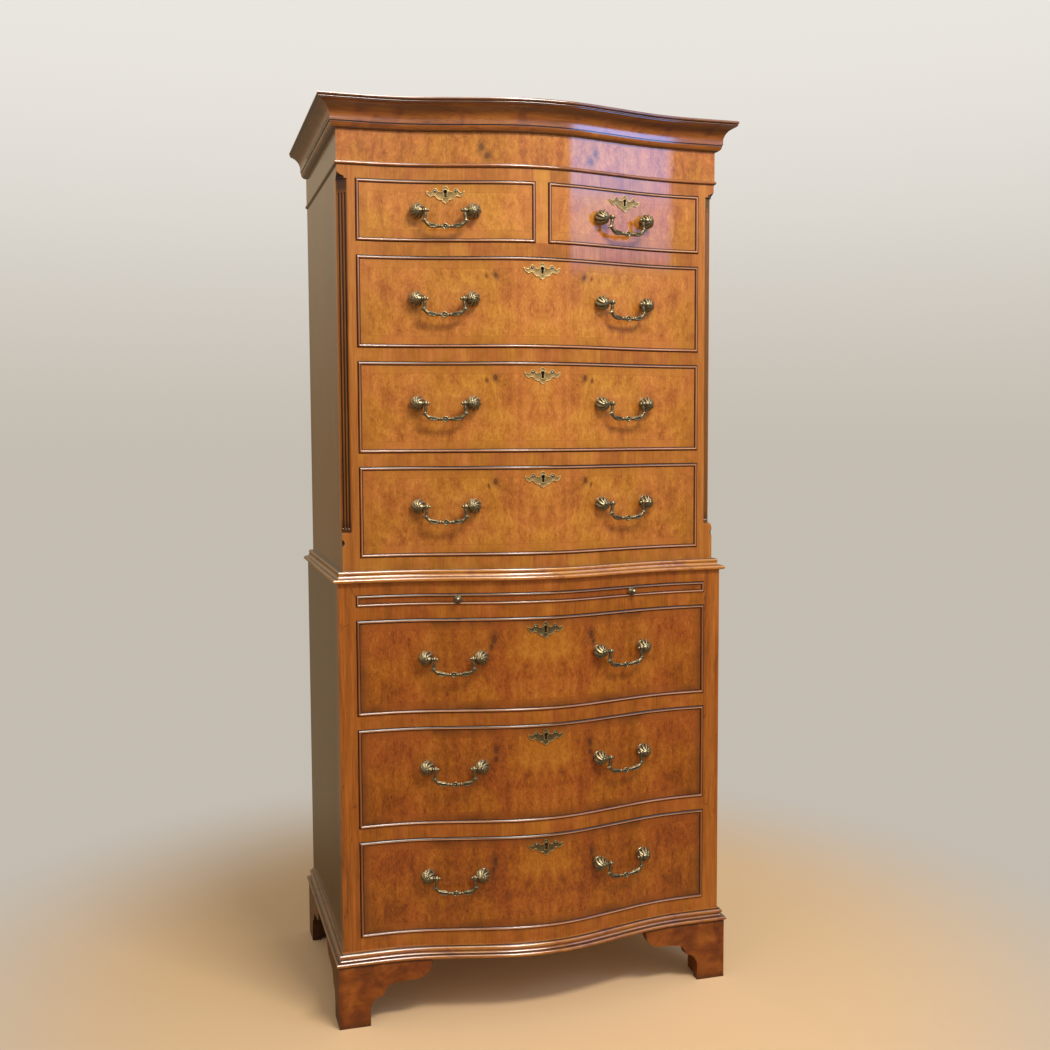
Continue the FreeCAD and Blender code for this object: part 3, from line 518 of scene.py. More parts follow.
walnutUpper = [(0.15, (0.230, 0.066, 0.010)), (0.5, (0.400, 0.136, 0.020)), (0.85, (0.560, 0.230, 0.042))]
# walnutUpper made lighter for the waist moulding where it catches the light, painted light
walnutUpperLit = [(0.15, (0.330, 0.105, 0.016)), (0.5, (0.520, 0.195, 0.032)), (0.85, (0.680, 0.310, 0.070))]
walnutLower = [(0.15, (0.165, 0.042, 0.006)), (0.5, (0.345, 0.100, 0.011)), (0.85, (0.500, 0.178, 0.026))]
walnutDeep = [(0.15, (0.120, 0.030, 0.005)), (0.5, (0.290, 0.084, 0.012)), (0.85, (0.440, 0.155, 0.028))]
walnutFoot = [(0.18, (0.060, 0.013, 0.003)), (0.5, (0.215, 0.050, 0.006)), (0.82, (0.370, 0.110, 0.015))]
walnutSide = [(0.15, (0.170, 0.064, 0.014)), (0.5, (0.285, 0.125, 0.031)), (0.85, (0.400, 0.195, 0.056))]
# the side walnut darkened for the lower case's sides, painted shade
walnutSideShaded = [(0.15, (0.074, 0.028, 0.007)), (0.5, (0.137, 0.058, 0.015)), (0.85, (0.205, 0.096, 0.028))]
oakPale = [(0.25, (0.270, 0.160, 0.070)), (0.5, (0.400, 0.250, 0.120)), (0.8, (0.520, 0.350, 0.190))]

# each moulding's colours, finish, seed and foot, then the dark lines in its quirks (painted shade and dirt)
# and a painted shade
mouldings = {
    "cornice_moulding": ("corniceWalnut", walnutDeep, waxed, 1.1, 1.693, [
        (0.0008, 0.0016, 0.9), (0.0112, 0.0012, 0.95), (0.0455, 0.0008, 0.6), (0.0491, 0.0011, 0.95)],
        (0.023, 0.041, 0.55)),
    "frieze_bead": ("friezeBeadWalnut", walnutDeep, bright, 2.1, 1.6285, [
        (0.0006, 0.0014, 0.9), (0.0074, 0.0008, 0.7)]),
    "waist_moulding": ("waistWalnut", walnutUpperLit, bright, 3.3, 0.855, [
        (0.0, 0.0014, 0.8), (0.0089, 0.0009, 0.8), (0.0148, 0.0006, 0.4), (0.0218, 0.0009, 0.9)]),
    "base_moulding": ("baseWalnut", walnutUpper, bright, 4.4, 0.121, [
        (0.0, 0.0012, 0.8), (0.0078, 0.0009, 0.8), (0.0134, 0.0007, 0.6), (0.0222, 0.0009, 0.9)]),
    # the feet: a cloudy figure, and painted shade on the rear feet's faces that look to the front
    "bracket_feet": ("footWalnut", walnutFoot, polish, 5.1, 0.0, [(0.121, 0.0040, 0.7)],
                     (0.016, 0.0, 0.65), 0.75, 0.85)}

giveLook("upper_rails", crossbandLook("upperRailBanding", walnutUpper, polish, 1.3, (0.0175, 1.491)))
giveLook("lower_rails", crossbandLook("lowerRailBanding", walnutLower, polish, 2.7))
giveLook("fluted_posts", postLook("postWalnut", walnutUpper, polish, 3.1, postSettings))
giveLook("lower_stiles", boardLook("stileWalnut", walnutLower, polish, 2, 4.2, vein=0.45))
for case, colours, seed in (("upper", walnutSide, 5.5), ("lower", walnutSideShaded, 6.5)):
    for side in ("left", "right"):
        name = case + "_" + side + "_side"
        giveLook(name, boardLook(name + "Walnut", colours, polish, 2, seed, bump=0.015))
for name, choices in mouldings.items():
    giveLook(name, mouldingLook(*choices))
for name, turn in (("cornice_top_board", 0), ("upper_boards", 0), ("lower_boards", 0), ("back_panels", 2),
                   ("upper_runners", 1), ("lower_runners", 1)):
    giveLook(name, boardLook(name + "Timber", oakPale, rubbed, turn, 7.0))
for body in drawerVeneers:
    giveLook(body + "_box", boardLook(body + "Lining", oakPale, rubbed, 1, 8.0))


friezeSettings = {
    "joints": (0.0, 0.176, 0.312),           # half widths at which two sheets of veneer meet
    "knots": [(0.1155, 0.0304, 0.0052), (0.1072, 0.0140, 0.0052)],
    "darker": 0.07}


def friezeLook(foot, settings):
    material, tree = newLook("friezeVeneer", polish)
    x, y, z = split(ownPlace(tree))
    spot = vector(size(x), 0.0, minus(z, foot))
    value, dark, tint = burrFigure(spot, settings["knots"])
    value = minus(value, settings["darker"])
    burr = tinted(colourRamp(value, burrColours["upper"]), tint)
    for joint in settings["joints"]:
        off = offFrom(size(x), joint)
        burr = blend(smooth(off, 0.0002, 0.0009, 0.40, 0.0), burr, jointLine)
    burr = blend(times(dark, 0.9), burr, knotDark)
    isBack = smooth(facing(tree)[1], 0.5, 0.6)
    side = between(isBack, straightGrain(z, x, y, 6.0), straightGrain(z, y, x, 6.5))
    side = colourRamp(side, walnutSide)
    colour = blend(smooth(facing(tree)[1], -0.6, -0.5), burr, side)
    return finished(material, colour, plusTimes(value, tint, 3.0), 0.10, 0.0006)


low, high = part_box("frieze_frame")
giveLook("frieze_frame", friezeLook(low.z, friezeSettings))

low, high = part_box("brushing_slide_board")
settings = dict(frontSettings, bead=0.0045, band=0.03, shade=0.2, shadeWidth=0.008, leaf=0.07)
giveLook("brushing_slide_board", drawerFrontLook("slideVeneer", low, high, "lower", settings))
print("case finished")


# brass with dark patina; on cast pieces it lies in the hollows and the high places are worn bright
def brassLook(name, wearAndHighlight, dull, roughness, cast=True, metallic=1.0):
    material, tree = newLook(name, {"Metallic": metallic})
    place = ownPlace(tree)
    cloud = noise(place, 160.0, 4.0, 0.6)
    speck = noise(place, 900.0, 2.0, 0.6)
    rub = smooth(plusTimes(times(cloud, 0.65), speck, 0.35), 0.36, 0.58)
    if cast:
        high = put("Attribute", pick=2, tree=tree, attribute_name="wear")
        rub = times(plusTimes(0.55, rub, 0.45), smooth(high, 0.15, 0.62))
    rough = plusTimes(roughness + 0.22, rub, -0.22)
    tree.links.new(rough, tree.nodes["Principled BSDF"].inputs["Roughness"])
    return finished(material, blend(rub, dull, wearAndHighlight), rub, 0.15, 0.0002)


handleBrass = brassLook("handleBrass", (0.35, 0.28, 0.150), (0.018, 0.013, 0.007), 0.35, metallic=0.78)
plateBrass = brassLook("plateBrass", (0.86, 0.62, 0.25), (0.22, 0.13, 0.04), 0.32, metallic=0.6)
# the lower case's plates: the same brass made darker and duller, painted shade
plateShaded = brassLook("plateShadedBrass", (0.66, 0.48, 0.20), (0.08, 0.048, 0.016), 0.32, metallic=0.75)
knobBrass = brassLook("slideKnobBrass", (0.50, 0.41, 0.25), (0.10, 0.07, 0.04), 0.28, cast=False, metallic=0.9)
pinSteel = brassLook("pinSteel", (0.30, 0.30, 0.31), (0.09, 0.09, 0.09), 0.30, cast=False)
lockBrass = brassLook("lockBrass", (0.52, 0.40, 0.20), (0.22, 0.16, 0.08), 0.34, cast=False)

axisTurn = {"X": (0, math.pi / 2, 0), "Y": (math.pi / 2, 0, 0), "Z": (0, 0, 0)}


# vector with distance along the axis and other across it
def onAxis(axis, distance, other=0.0):
    return tuple(distance if letter == axis else other for letter in "XYZ")


def mode(name):
    bpy.ops.object.mode_set(mode=name)


def selectWhole():
    bpy.ops.mesh.select_all(action="SELECT")


def chosen(piece):
    bpy.ops.object.select_all(action="DESELECT")
    piece.select_set(True)
    bpy.context.view_layer.objects.active = piece


# puts the active piece's place, turn and size into its mesh
def settled():
    bpy.ops.object.transform_apply(location=True, rotation=True, scale=True)


# selects in edit mode just the vertices ("VERT") or faces ("FACE") that pass the test
def choose(kind, wanted):
    mode("OBJECT")
    mesh = bpy.context.object.data
    for part in (*mesh.vertices, *mesh.edges, *mesh.polygons):
        part.select = False
    for part in mesh.vertices if kind == "VERT" else mesh.polygons:
        part.select = wanted(part)
    mode("EDIT")
    bpy.ops.mesh.select_mode(type=kind)


# turns the active piece's faces outwards
def facedOut():
    mode("EDIT")
    selectWhole()
    bpy.ops.mesh.normals_make_consistent(inside=False)
    mode("OBJECT")


# joins the active piece's vertices that lie on each other
def mergedClose():
    mode("EDIT")
    selectWhole()
    bpy.ops.mesh.remove_doubles(threshold=0.00001)
    mode("OBJECT")


def pushed(x, y, z):
    bpy.ops.mesh.extrude_region_move(TRANSFORM_OT_translate={"value": (x, y, z)})


def startTurning(axis, place, radius, sides):
    bpy.ops.object.select_all(action="DESELECT")
    bpy.ops.mesh.primitive_circle_add(vertices=sides, radius=radius, fill_type="NGON",
                                      location=onAxis(axis, place), rotation=axisTurn[axis])
    settled()
    mode("EDIT")
    selectWhole()


# extrudes the end face from one (place, radius) of a turned profile to the next
def turnOn(axis, before, after, twist=0.0):
    pushed(*onAxis(axis, after[0] - before[0]))
    ratio = after[1] / before[1]
    middle = onAxis(axis, after[0])
    bpy.ops.transform.resize(value=onAxis(axis, 1.0, ratio), center_override=middle)
    if twist:
        bpy.ops.transform.rotate(value=twist, orient_axis=axis, center_override=middle)


# piece turned from a profile of (place along the axis, radius)
def turned(name, profile, axis, sides):
    startTurning(axis, *profile[0], sides)
    for before, after in zip(profile, profile[1:]):
        turnOn(axis, before, after)
    facedOut()
    piece = bpy.context.object
    piece.name = name
    return piece


def applied(piece, kind, **settings):
    bpy.context.view_layer.objects.active = piece
    modifier = piece.modifiers.new(kind.lower(), kind)
    for key, value in settings.items():
        setattr(modifier, key, value)
    bpy.ops.object.modifier_apply(modifier=modifier.name)


def joined(name, pieces):
    bpy.ops.object.select_all(action="DESELECT")
    for piece in pieces:
        piece.select_set(True)
    bpy.context.view_layer.objects.active = pieces[0]
    if len(pieces) > 1:
        bpy.ops.object.join()
    piece = bpy.context.object
    piece.name = name
    piece.data.name = name
    return piece


# copy with its own mesh, moved by the matrix; its object stays at the origin
def copied(master, matrix):
    piece = master.copy()
    piece.data = master.data.copy()
    bpy.context.collection.objects.link(piece)
    piece.data.transform(matrix)
    if matrix.determinant() < 0:
        piece.data.flip_normals()
    return piece


def softened(piece, degrees):
    chosen(piece)
    bpy.ops.object.shade_smooth_by_angle(angle=math.radians(degrees))


# writes how far each vertex stands out, 0 in a hollow and 1 on a ridge, for the brass to read
def paintWear(piece):
    chosen(piece)
    wear = piece.data.color_attributes.new("wear", "BYTE_COLOR", "CORNER")
    piece.data.color_attributes.active_color = wear
    for corner in wear.data:
        corner.color = (1, 1, 1, 1)
    bpy.ops.paint.vertex_color_dirt(blur_strength=0.6, blur_iterations=1, clean_angle=2.1,
                                    dirt_angle=1.1, dirt_only=False, normalize=True)


pivotOut = 0.020             # line of the pivots in front of the wood

knobSettings = {
    "scale": 1.06,
    "lobes": 9,
    "sidesPerLobe": 6,
    "seat": [(0.0015, 0.0100), (-0.0010, 0.0118), (-0.0026, 0.0120), (-0.0032, 0.0104)],
    # (place, radius, swirl from the place before)
    "body": [(-0.0048, 0.0118, 0.05), (-0.0075, 0.0137, 0.10), (-0.0110, 0.0139, 0.14),
             (-0.0145, 0.0128, 0.17), (-0.0178, 0.0104, 0.20), (-0.0205, 0.0076, 0.22),
             (-0.0224, 0.0048, 0.20)],
    "button": [(-0.0221, 0.0030), (-0.0236, 0.0027), (-0.0243, 0.0014)],
    "lobeShape": (0.74, 0.91, 1.03, 1.06, 1.0, 0.87),
    "endStep": 0.0004}


# knob with gadroons that swirl from the seat to the button; the wood is at Y = 0
def modelKnob(settings):
    perLobe = settings["sidesPerLobe"]
    sides = settings["lobes"] * perLobe
    seat = settings["seat"]
    startTurning("Y", *seat[0], sides)
    for before, after in zip(seat, seat[1:]):
        turnOn("Y", before, after)
    before = seat[-1]
    turn = 0.0
    for k, (place, radius, twist) in enumerate(settings["body"]):
        turnOn("Y", before, (place, radius), twist)
        before = (place, radius)
        turn += twist
        if k == 0:
            for step, factor in enumerate(settings["lobeShape"]):
                def onStep(vertex):
                    angle = math.atan2(vertex.co.z, vertex.co.x) - turn
                    side = round(angle / (2 * math.pi) * sides) % perLobe
                    return abs(vertex.co.y - place) < 1e-5 and side == step
                choose("VERT", onStep)
                bpy.ops.transform.resize(value=(factor, 1, factor), center_override=(0, place, 0))
            choose("FACE", lambda face: abs(face.center.y - place) < 1e-5)
    step = settings["endStep"]
    pushed(0, step, 0)
    bpy.ops.transform.resize(value=(0.5, 1, 0.5), center_override=(0, before[0] + step, 0))
    mode("OBJECT")
    body = bpy.context.object
    knob = joined("knob", [body, turned("knobButton", settings["button"], "Y", 18)])
    facedOut()
    applied(knob, "SUBSURF", levels=1, render_levels=1)
    softened(knob, 50)
    paintWear(knob)
    knob.data.transform(Matrix.Scale(settings["scale"], 4))
    return knob


pivotProfile = [(0.004, 0.0046), (0.0082, 0.0042), (0.0100, 0.0029), (0.0112, 0.0027), (0.0114, 0.0033),
                (0.0130, 0.0033), (0.0134, 0.0022), (0.0183, 0.0022), (0.0188, 0.0026), (0.0200, 0.0029),
                (0.0216, 0.0029), (0.0229, 0.0021), (0.0237, 0.0008)]


# pivot with a shoulder before the bail's eye and a ball after it, running to +X at its height out
def modelPivot():
    pivot = turned("pivot", pivotProfile, "X", 20)
    pivot.data.transform(Matrix.Translation((0, -pivotOut, 0)))
    softened(pivot, 40)
    paintWear(pivot)
    return pivot


nutSettings = {"start": 0.0203, "end": 0.0238, "radius": 0.0046, "chamfer": 0.0004, "boltRadius": 0.0020,
               "boltEnd": 0.0265}


# hexagonal nut on the end of its bolt, behind the board
def modelNut(settings):
    start, end, radius, chamfer = (settings[key] for key in ("start", "end", "radius", "chamfer"))
    flats = [(start, radius * 0.94), (start + chamfer, radius), (end - chamfer, radius), (end, radius * 0.9)]
    thick, tip = settings["boltRadius"], settings["boltEnd"]
    bolt = [(start - 0.002, thick), (tip - chamfer, thick), (tip, thick * 0.7)]
    nut = joined("nut", [turned("nutBody", flats, "Y", 6), turned("boltEnd", bolt, "Y", 16)])
    softened(nut, 25)
    paintWear(nut)
    return nut


bailSettings = {
    # half of the bar from the pivot to the middle, as (x, z, radius)
    "arm": [(0.0364, -0.0036, 0.0032), (0.0368, -0.0085, 0.0034), (0.0376, -0.0130, 0.0030),
            (0.0381, -0.0158, 0.0032), (0.0380, -0.0182, 0.0042), (0.0367, -0.0206, 0.0036),
            (0.0346, -0.0232, 0.0036), (0.0311, -0.0259, 0.0041), (0.0268, -0.0277, 0.0047),
            (0.0218, -0.0285, 0.0048), (0.0174, -0.0289, 0.0042), (0.0143, -0.0290, 0.0030),
            (0.0127, -0.0291, 0.0039), (0.0110, -0.0292, 0.0039), (0.0094, -0.0293, 0.0027),
            (0.0072, -0.0294, 0.0031), (0.0050, -0.0295, 0.0030), (0.0026, -0.0295, 0.0012),
            (0.0, -0.0295, 0.0008)],
    "flutes": (0.0150, 0.0300),
    "eye": {"place": 0.0364, "ring": 0.0039, "thickness": 0.0018, "width": 1.5},
    "leaf": [(0.0384, -0.0176, 0.0034), (0.0410, -0.0190, 0.0028), (0.0430, -0.0196, 0.0020),
             (0.0444, -0.0192, 0.0010)],
    "roundel": {"drop": 0.0295, "ring": 0.0047, "thickness": 0.0014, "dot": 0.0018}}


# curve made into a mesh, turned about X
def meshFrom(curve, turn=0.0):
    piece = bpy.data.objects.new(curve.name, curve)
    bpy.context.collection.objects.link(piece)
    chosen(piece)
    piece.rotation_euler = (turn, 0, 0)
    bpy.ops.object.convert(target="MESH")
    settled()


# round bar of changing thickness through (x, z, radius) points, in the plane of the pivots
def barFrom(points):
    curve = bpy.data.curves.new("bar", "CURVE")
    curve.dimensions = "3D"
    curve.bevel_depth = 1.0
    curve.bevel_resolution = 3
    curve.resolution_u = 3
    curve.use_fill_caps = True
    spline = curve.splines.new("BEZIER")
    spline.bezier_points.add(len(points) - 1)
    for point, (x, z, radius) in zip(spline.bezier_points, points):
        point.co = (x, -pivotOut, z)
        point.radius = radius
        point.handle_left_type = point.handle_right_type = "AUTO"
    meshFrom(curve)
    mergedClose()
    return bpy.context.object


def ringOf(shape, sides, place, turn):
    bpy.ops.mesh.primitive_torus_add(major_segments=28, minor_segments=sides, major_radius=shape["ring"],
                                     minor_radius=shape["thickness"], location=place, rotation=turn)
    return bpy.context.object


# hanging bail with its pivots' line along X at Z = 0 and its plane at the pivots' height out
def modelBail(settings):
    plane = -pivotOut
    arm = barFrom(settings["arm"])
    start, end = settings["flutes"]
    # two long flutes along the bellied part, one on its face and one on its top
    for onSide in (lambda normal: normal.y < -0.85, lambda normal: normal.z > 0.85):
        choose("FACE", lambda face: start < face.center.x < end and onSide(face.normal))
        bpy.ops.mesh.inset(thickness=0.0004, depth=-0.0002)
        bpy.ops.mesh.inset(thickness=0.0005, depth=-0.0009)
    mode("OBJECT")
    applied(arm, "SUBSURF", levels=1, render_levels=1)
    eye = settings["eye"]
    ring = ringOf(eye, 12, (eye["place"], plane, 0), axisTurn["X"])
    ring.scale = (1, 1, eye["width"])
    settled()
    half = joined("bailHalf", [arm, ring, barFrom(settings["leaf"])])
    other = copied(half, Matrix.Scale(-1, 4, (1, 0, 0)))
    roundel = settings["roundel"]
    drop, dot = roundel["drop"], roundel["dot"]
    rim = ringOf(roundel, 10, (0, plane - roundel["thickness"], -drop), axisTurn["Y"])
    settled()
    drum = [(plane + 0.0030, 0.0034), (plane + 0.0026, 0.0044), (plane + 0.0010, 0.0046),
            (plane - 0.0010, 0.0044), (plane - 0.0010, dot * 1.15), (plane - 0.0020, dot),
            (plane - 0.0026, dot * 0.6)]
    core = turned("roundelCore", drum, "Y", 20)
    core.data.transform(Matrix.Translation((0, 0, -drop)))
    bail = joined("bail", [half, other, rim, core])
    softened(bail, 50)
    paintWear(bail)
    return bail


plateSettings = {
    # right half of the edge from its top to its bottom point, in millimetres; True marks a corner
    "edge": [(0, 14.0, False), (5.0, 10.8, False), (7.0, 5.2, False), (9.6, 3.6, True), (13.0, 4.0, True),
             (19.6, 10.3, False), (25.6, 4.2, False), (29.0, 2.2, True), (35.4, 5.6, True),
             (36.6, 4.2, True), (33.4, -1.4, False), (28.2, -6.0, True), (24.8, -5.2, False),
             (22.2, -3.9, True), (19.2, -4.6, False), (15.0, -9.4, False), (9.6, -11.8, True),
             (6.6, -11.0, True), (4.8, -14.6, False), (0, -17.9, True)],
    "keyhole": [(0, 7.2, False), (3.9, 3.4, False), (2.5, 0.4, True), (2.6, -6.8, True)],
    "thickness": 0.0018,
    "rim": 0.0009,
    "slope": 0.0003,
    "sink": 0.0007,
    "round": 0.00022,
    "cuts": 9,               # either side of the middle, so that it can bend
    "cutStep": 0.004,
    "pins": (0.0196, 0.0047),
    "pinRadius": 0.0021}


# closed loop from the right half of an outline, in millimetres
def plateLoop(curve, half):
    mirror = [(-x, z, corner) for x, z, corner in reversed(half) if x > 0]
    points = half + mirror
    spline = curve.splines.new("BEZIER")
    spline.bezier_points.add(len(points) - 1)
    spline.use_cyclic_u = True
    for point, (x, z, corner) in zip(spline.bezier_points, points):
        point.co = (x / 1000, z / 1000, 0)
        kind = "VECTOR" if corner else "AUTO"
        point.handle_left_type = point.handle_right_type = kind


# escutcheon with a raised rim, a pin in each wing and its keyhole at the origin
def modelPlate(settings):
    curve = bpy.data.curves.new("plate", "CURVE")
    curve.dimensions = "2D"
    curve.fill_mode = "BOTH"
    curve.resolution_u = 5
    plateLoop(curve, settings["edge"])
    plateLoop(curve, settings["keyhole"])
    meshFrom(curve, math.pi / 2)
    mode("EDIT")
    selectWhole()
    bpy.ops.mesh.remove_doubles(threshold=0.00001)
    bpy.ops.mesh.dissolve_limited(angle_limit=0.01)
    pushed(0, -settings["thickness"], 0)
    bpy.ops.mesh.inset(thickness=settings["rim"], depth=0)
    bpy.ops.mesh.inset(thickness=settings["slope"], depth=0)
    bpy.ops.transform.translate(value=(0, settings["sink"], 0))
    facedOut()
    plate = bpy.context.object
    applied(plate, "BEVEL", width=settings["round"], segments=2, limit_method="ANGLE",
            angle_limit=math.radians(50))
    mode("EDIT")
    for k in range(-settings["cuts"], settings["cuts"] + 1):
        selectWhole()
        bpy.ops.mesh.bisect(plane_co=(k * settings["cutStep"], 0, 0), plane_no=(1, 0, 0))
    mode("OBJECT")
    mergedClose()
    softened(plate, 30)
    # the rim is rubbed bright and the sunk field is dull
    top = -settings["thickness"]
    wear = plate.data.color_attributes.new("wear", "FLOAT_COLOR", "POINT")
    for vertex, corner in zip(plate.data.vertices, wear.data):
        depth = min(max((vertex.co.y - top) / settings["sink"], 0), 1)
        corner.color = (*[1.0 - 0.72 * depth] * 3, 1)
    return plate


# two domed pins through the wings of the plate
def modelPins(settings):
    top = -settings["thickness"] + settings["sink"]
    radius = settings["pinRadius"]
    across, up = settings["pins"]
    dome = [(0.006, 0.0008), (top, 0.0008), (top + 0.0001, radius), (top - 0.0004, radius),
            (top - 0.0010, radius * 0.82), (top - 0.0014, radius * 0.5), (top - 0.0015, radius * 0.2)]
    pins = []
    for x in (-across, across):
        pin = turned("pin", dome, "Y", 20)
        pin.data.transform(Matrix.Translation((x, 0, up)))
        pins.append(pin)
    pins = joined("pins", pins)
    softened(pins, 50)
    return pins


lockSettings = {"width": 0.056, "height": 0.034, "front": 0.0091, "back": 0.0185, "cap": 0.0015,
                "border": 0.006, "screwHeads": [(-0.001, 0.0024), (0.0002, 0.0024), (0.0005, 0.0019)],
                "screws": [(-0.0245, -0.005), (0.0245, -0.005), (-0.0245, -0.029), (0.0245, -0.029)]}


# lock case let into the back of the front, its top at Z = 0, with a raised cap and four screws
def modelLock(settings):
    front, back, height = settings["front"], settings["back"], settings["height"]
    bpy.ops.object.select_all(action="DESELECT")
    bpy.ops.mesh.primitive_cube_add(size=1, location=(0, (front + back) / 2, -height / 2))
    case = bpy.context.object
    case.scale = (settings["width"], back - front, height)
    settled()
    choose("FACE", lambda face: face.normal.y > 0.9)
    bpy.ops.mesh.inset(thickness=settings["border"], depth=0)
    pushed(0, settings["cap"], 0)
    mode("OBJECT")
    applied(case, "BEVEL", width=0.0005, segments=2, limit_method="ANGLE", angle_limit=math.radians(40))
    pieces = [case]
    head = [(back + out, radius) for out, radius in settings["screwHeads"]]
    for x, z in settings["screws"]:
        screw = turned("screw", head, "Y", 16)
        choose("FACE", lambda face: face.normal.y > 0.9)
        bpy.ops.mesh.inset(thickness=0.0005, depth=-0.0003)
        mode("OBJECT")
        screw.data.transform(Matrix.Translation((x, 0, z)))
        pieces.append(screw)
    lock = joined("lock", pieces)
    softened(lock, 35)
    return lock


# copy of a master on its drawer, standing for the CAD node; curvature bends it along the front
def fitModel(body, kind, master, look, matrix, node, curvature=0.0):
    piece = copied(master, Matrix())
    if curvature:
        width = 2 * max(vertex.co.x for vertex in piece.data.vertices)
        applied(piece, "SIMPLE_DEFORM", deform_method="BEND", deform_axis="Z", angle=curvature * width)
    piece.data.transform(matrix)
    piece.name = piece.data.name = kind
    piece.data.materials.clear()
    piece.data.materials.append(look)
    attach(piece, body)
    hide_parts(node)


# serpentine in plan: a bow between two hollow flanks, joined by straight pieces at the slope
frontPlan = {"bowRadius": 0.396, "flankRadius": 0.516, "slope": math.radians(14.25), "flankEnd": 0.322,
             "bowDepth": 0.052825, "shift": -0.201087, "postSpacing": 0.105}


# y of the front and the turn of its tangent at x, moved outwards by offset
def frontAt(x, offset):
    plan = frontPlan
    slope = plan["slope"]
    reach = abs(x)
    bow = plan["bowRadius"] + offset
    flank = plan["flankRadius"] - offset
    inwards = plan["flankEnd"] - reach
    bowMiddle = plan["bowRadius"] - plan["bowDepth"]
    centreEnd = bow * math.sin(slope)
    if reach <= centreEnd:
        y = bowMiddle - math.sqrt(bow * bow - reach * reach)
        angle = math.asin(reach / bow)
    elif inwards >= flank * math.sin(slope):
        y = bowMiddle - bow * math.cos(slope) + (reach - centreEnd) * math.tan(slope)
        angle = slope
    elif inwards >= 0:
        y = math.sqrt(flank * flank - inwards ** 2) - plan["flankRadius"]
        angle = math.asin(inwards / flank)
    else:
        y, angle = -offset, 0.0
    return y + plan["shift"], math.copysign(angle, x)


# matrix that takes a handle's own axes to the middle of its two posts
def handlePlace(x, z, offset):
    reach = frontPlan["postSpacing"] / 2 * math.cos(frontAt(x, offset)[1])
    left = Vector((x - reach, frontAt(x - reach, offset)[0], z))
    right = Vector((x + reach, frontAt(x + reach, offset)[0], z))
    turn = math.atan2(right.y - left.y, right.x - left.x)
    return Matrix.Translation((left + right) / 2) @ Matrix.Rotation(turn, 4, "Z")


# head of each drawer's opening, height of its handles' pivots and the handles' places by bail
upperPair = {"_left": -0.182, "_right": 0.1735}
lowerPair = {"_left": -0.1735, "_right": 0.1645}
drawerBrass = {
    "short_drawer_left": (1.6055, 1.547, {"": -0.179}),
    "short_drawer_right": (1.6055, 1.547, {"": 0.1725}),
    "upper_drawer_top": (1.466, 1.385, upperPair),
    "upper_drawer_middle": (1.270, 1.191, upperPair),
    "upper_drawer_bottom": (1.073, 0.997, upperPair),
    "lower_drawer_top": (0.7845, 0.7085, lowerPair),
    "lower_drawer_middle": (0.5755, 0.4965, lowerPair),
    "lower_drawer_bottom": (0.358, 0.2835, lowerPair)}
keyDrop = 0.025              # keyhole and lock below the head of the opening
lockDrop = 0.008
flankCurvature = -0.4        # how the short drawers' plates bend, per metre

knob = modelKnob(knobSettings)
pivot = modelPivot()
nut = modelNut(nutSettings)
bail = modelBail(bailSettings)
plate = modelPlate(plateSettings)
pins = modelPins(plateSettings)
lock = modelLock(lockSettings)

# both posts of a handle in one piece
posts = []
for side in (-1, 1):
    across = Matrix.Translation((side * frontPlan["postSpacing"] / 2, 0, 0))
    posts += [copied(knob, across), copied(nut, across)]
    posts.append(copied(pivot, across @ Matrix.Scale(-side, 4, (1, 0, 0))))
posts = joined("handlePosts", posts)

for body, (headZ, pivotZ, handles) in drawerBrass.items():
    case, _, _, keyX, _ = drawerVeneers[body]
    offset = caseSettings[case]["offset"]
    fittings = body + "_fittings"
    for side, x in handles.items():
        place = handlePlace(x, pivotZ, offset)
        fitModel(body, body + side + "_posts", posts, handleBrass, place, fittings)
        hung = body + "_bail" + side
        fitModel(hung, hung + "_cast", bail, handleBrass, place, hung)
    y, turn = frontAt(keyX, offset)
    facingOut = Matrix.Rotation(turn, 4, "Z")
    place = Matrix.Translation((keyX, y, headZ - keyDrop)) @ facingOut
    curvature = flankCurvature if keyX else 1 / (frontPlan["bowRadius"] + offset)
    look = plateBrass if case == "upper" else plateShaded
    fitModel(body, body + "_escutcheon", plate, look, place, fittings, curvature)
    fitModel(body, body + "_pins", pins, pinSteel, place, fittings, curvature)
    place = Matrix.Translation((keyX, y, headZ - lockDrop)) @ facingOut
    fitModel(body, body + "_lock", lock, lockBrass, place, fittings)

for master in (knob, pivot, nut, bail, plate, pins, lock, posts):
    bpy.data.objects.remove(master)
giveLook("brushing_slide_knobs", knobBrass)
print("brass fitted")


stageSettings = {
    "floorColour": (0.92, 0.62, 0.335),
    "floorSeen": (0.30, 0.19, 0.09),
    "wallHigh": (0.82, 0.79, 0.74),
    "wallLow": (0.55, 0.505, 0.44),
    "roomLow": (0.070, 0.056, 0.040),         # what polish and brass see of the room in front
    "roomHigh": (0.20, 0.24, 0.28),
    "ceilingSeen": (0.90, 0.80, 0.68),
    "skylightSeen": (9.0, 8.6, 8.2),
    "wallHighSeen": (0.45, 0.37, 0.25),
    "wallLowSeen": (0.21, 0.15, 0.085),
    "fadeStart": 0.65,
    "fadeEnd": 1.5,
    "lightColour": (1.0, 0.98, 0.95),
    "frontLight": 0.78,
    "backLight": 0.28}


# what the camera sees for itself, whether straight or mirrored in polish
def looked(tree):
    return most(put("LightPath", tree=tree), put("LightPath", pick=3, tree=tree))


# polish and brass see the mirrored colour, all else the direct one
def seen(tree, direct, mirrored):
    return blend(put("LightPath", pick=3, tree=tree), direct, mirrored)


def emptyTree(owner):
    owner.use_nodes = True
    owner.node_tree.nodes.clear()
    return owner.node_tree


# mixes two shaders and sends them to the output
def shown(tree, kind, amount, first, second):
    mixed = put("MixShader", {0: amount, 1: first, 2: second})
    output = tree.nodes.new("ShaderNodeOutput" + kind)
    tree.links.new(mixed, output.inputs["Surface"])


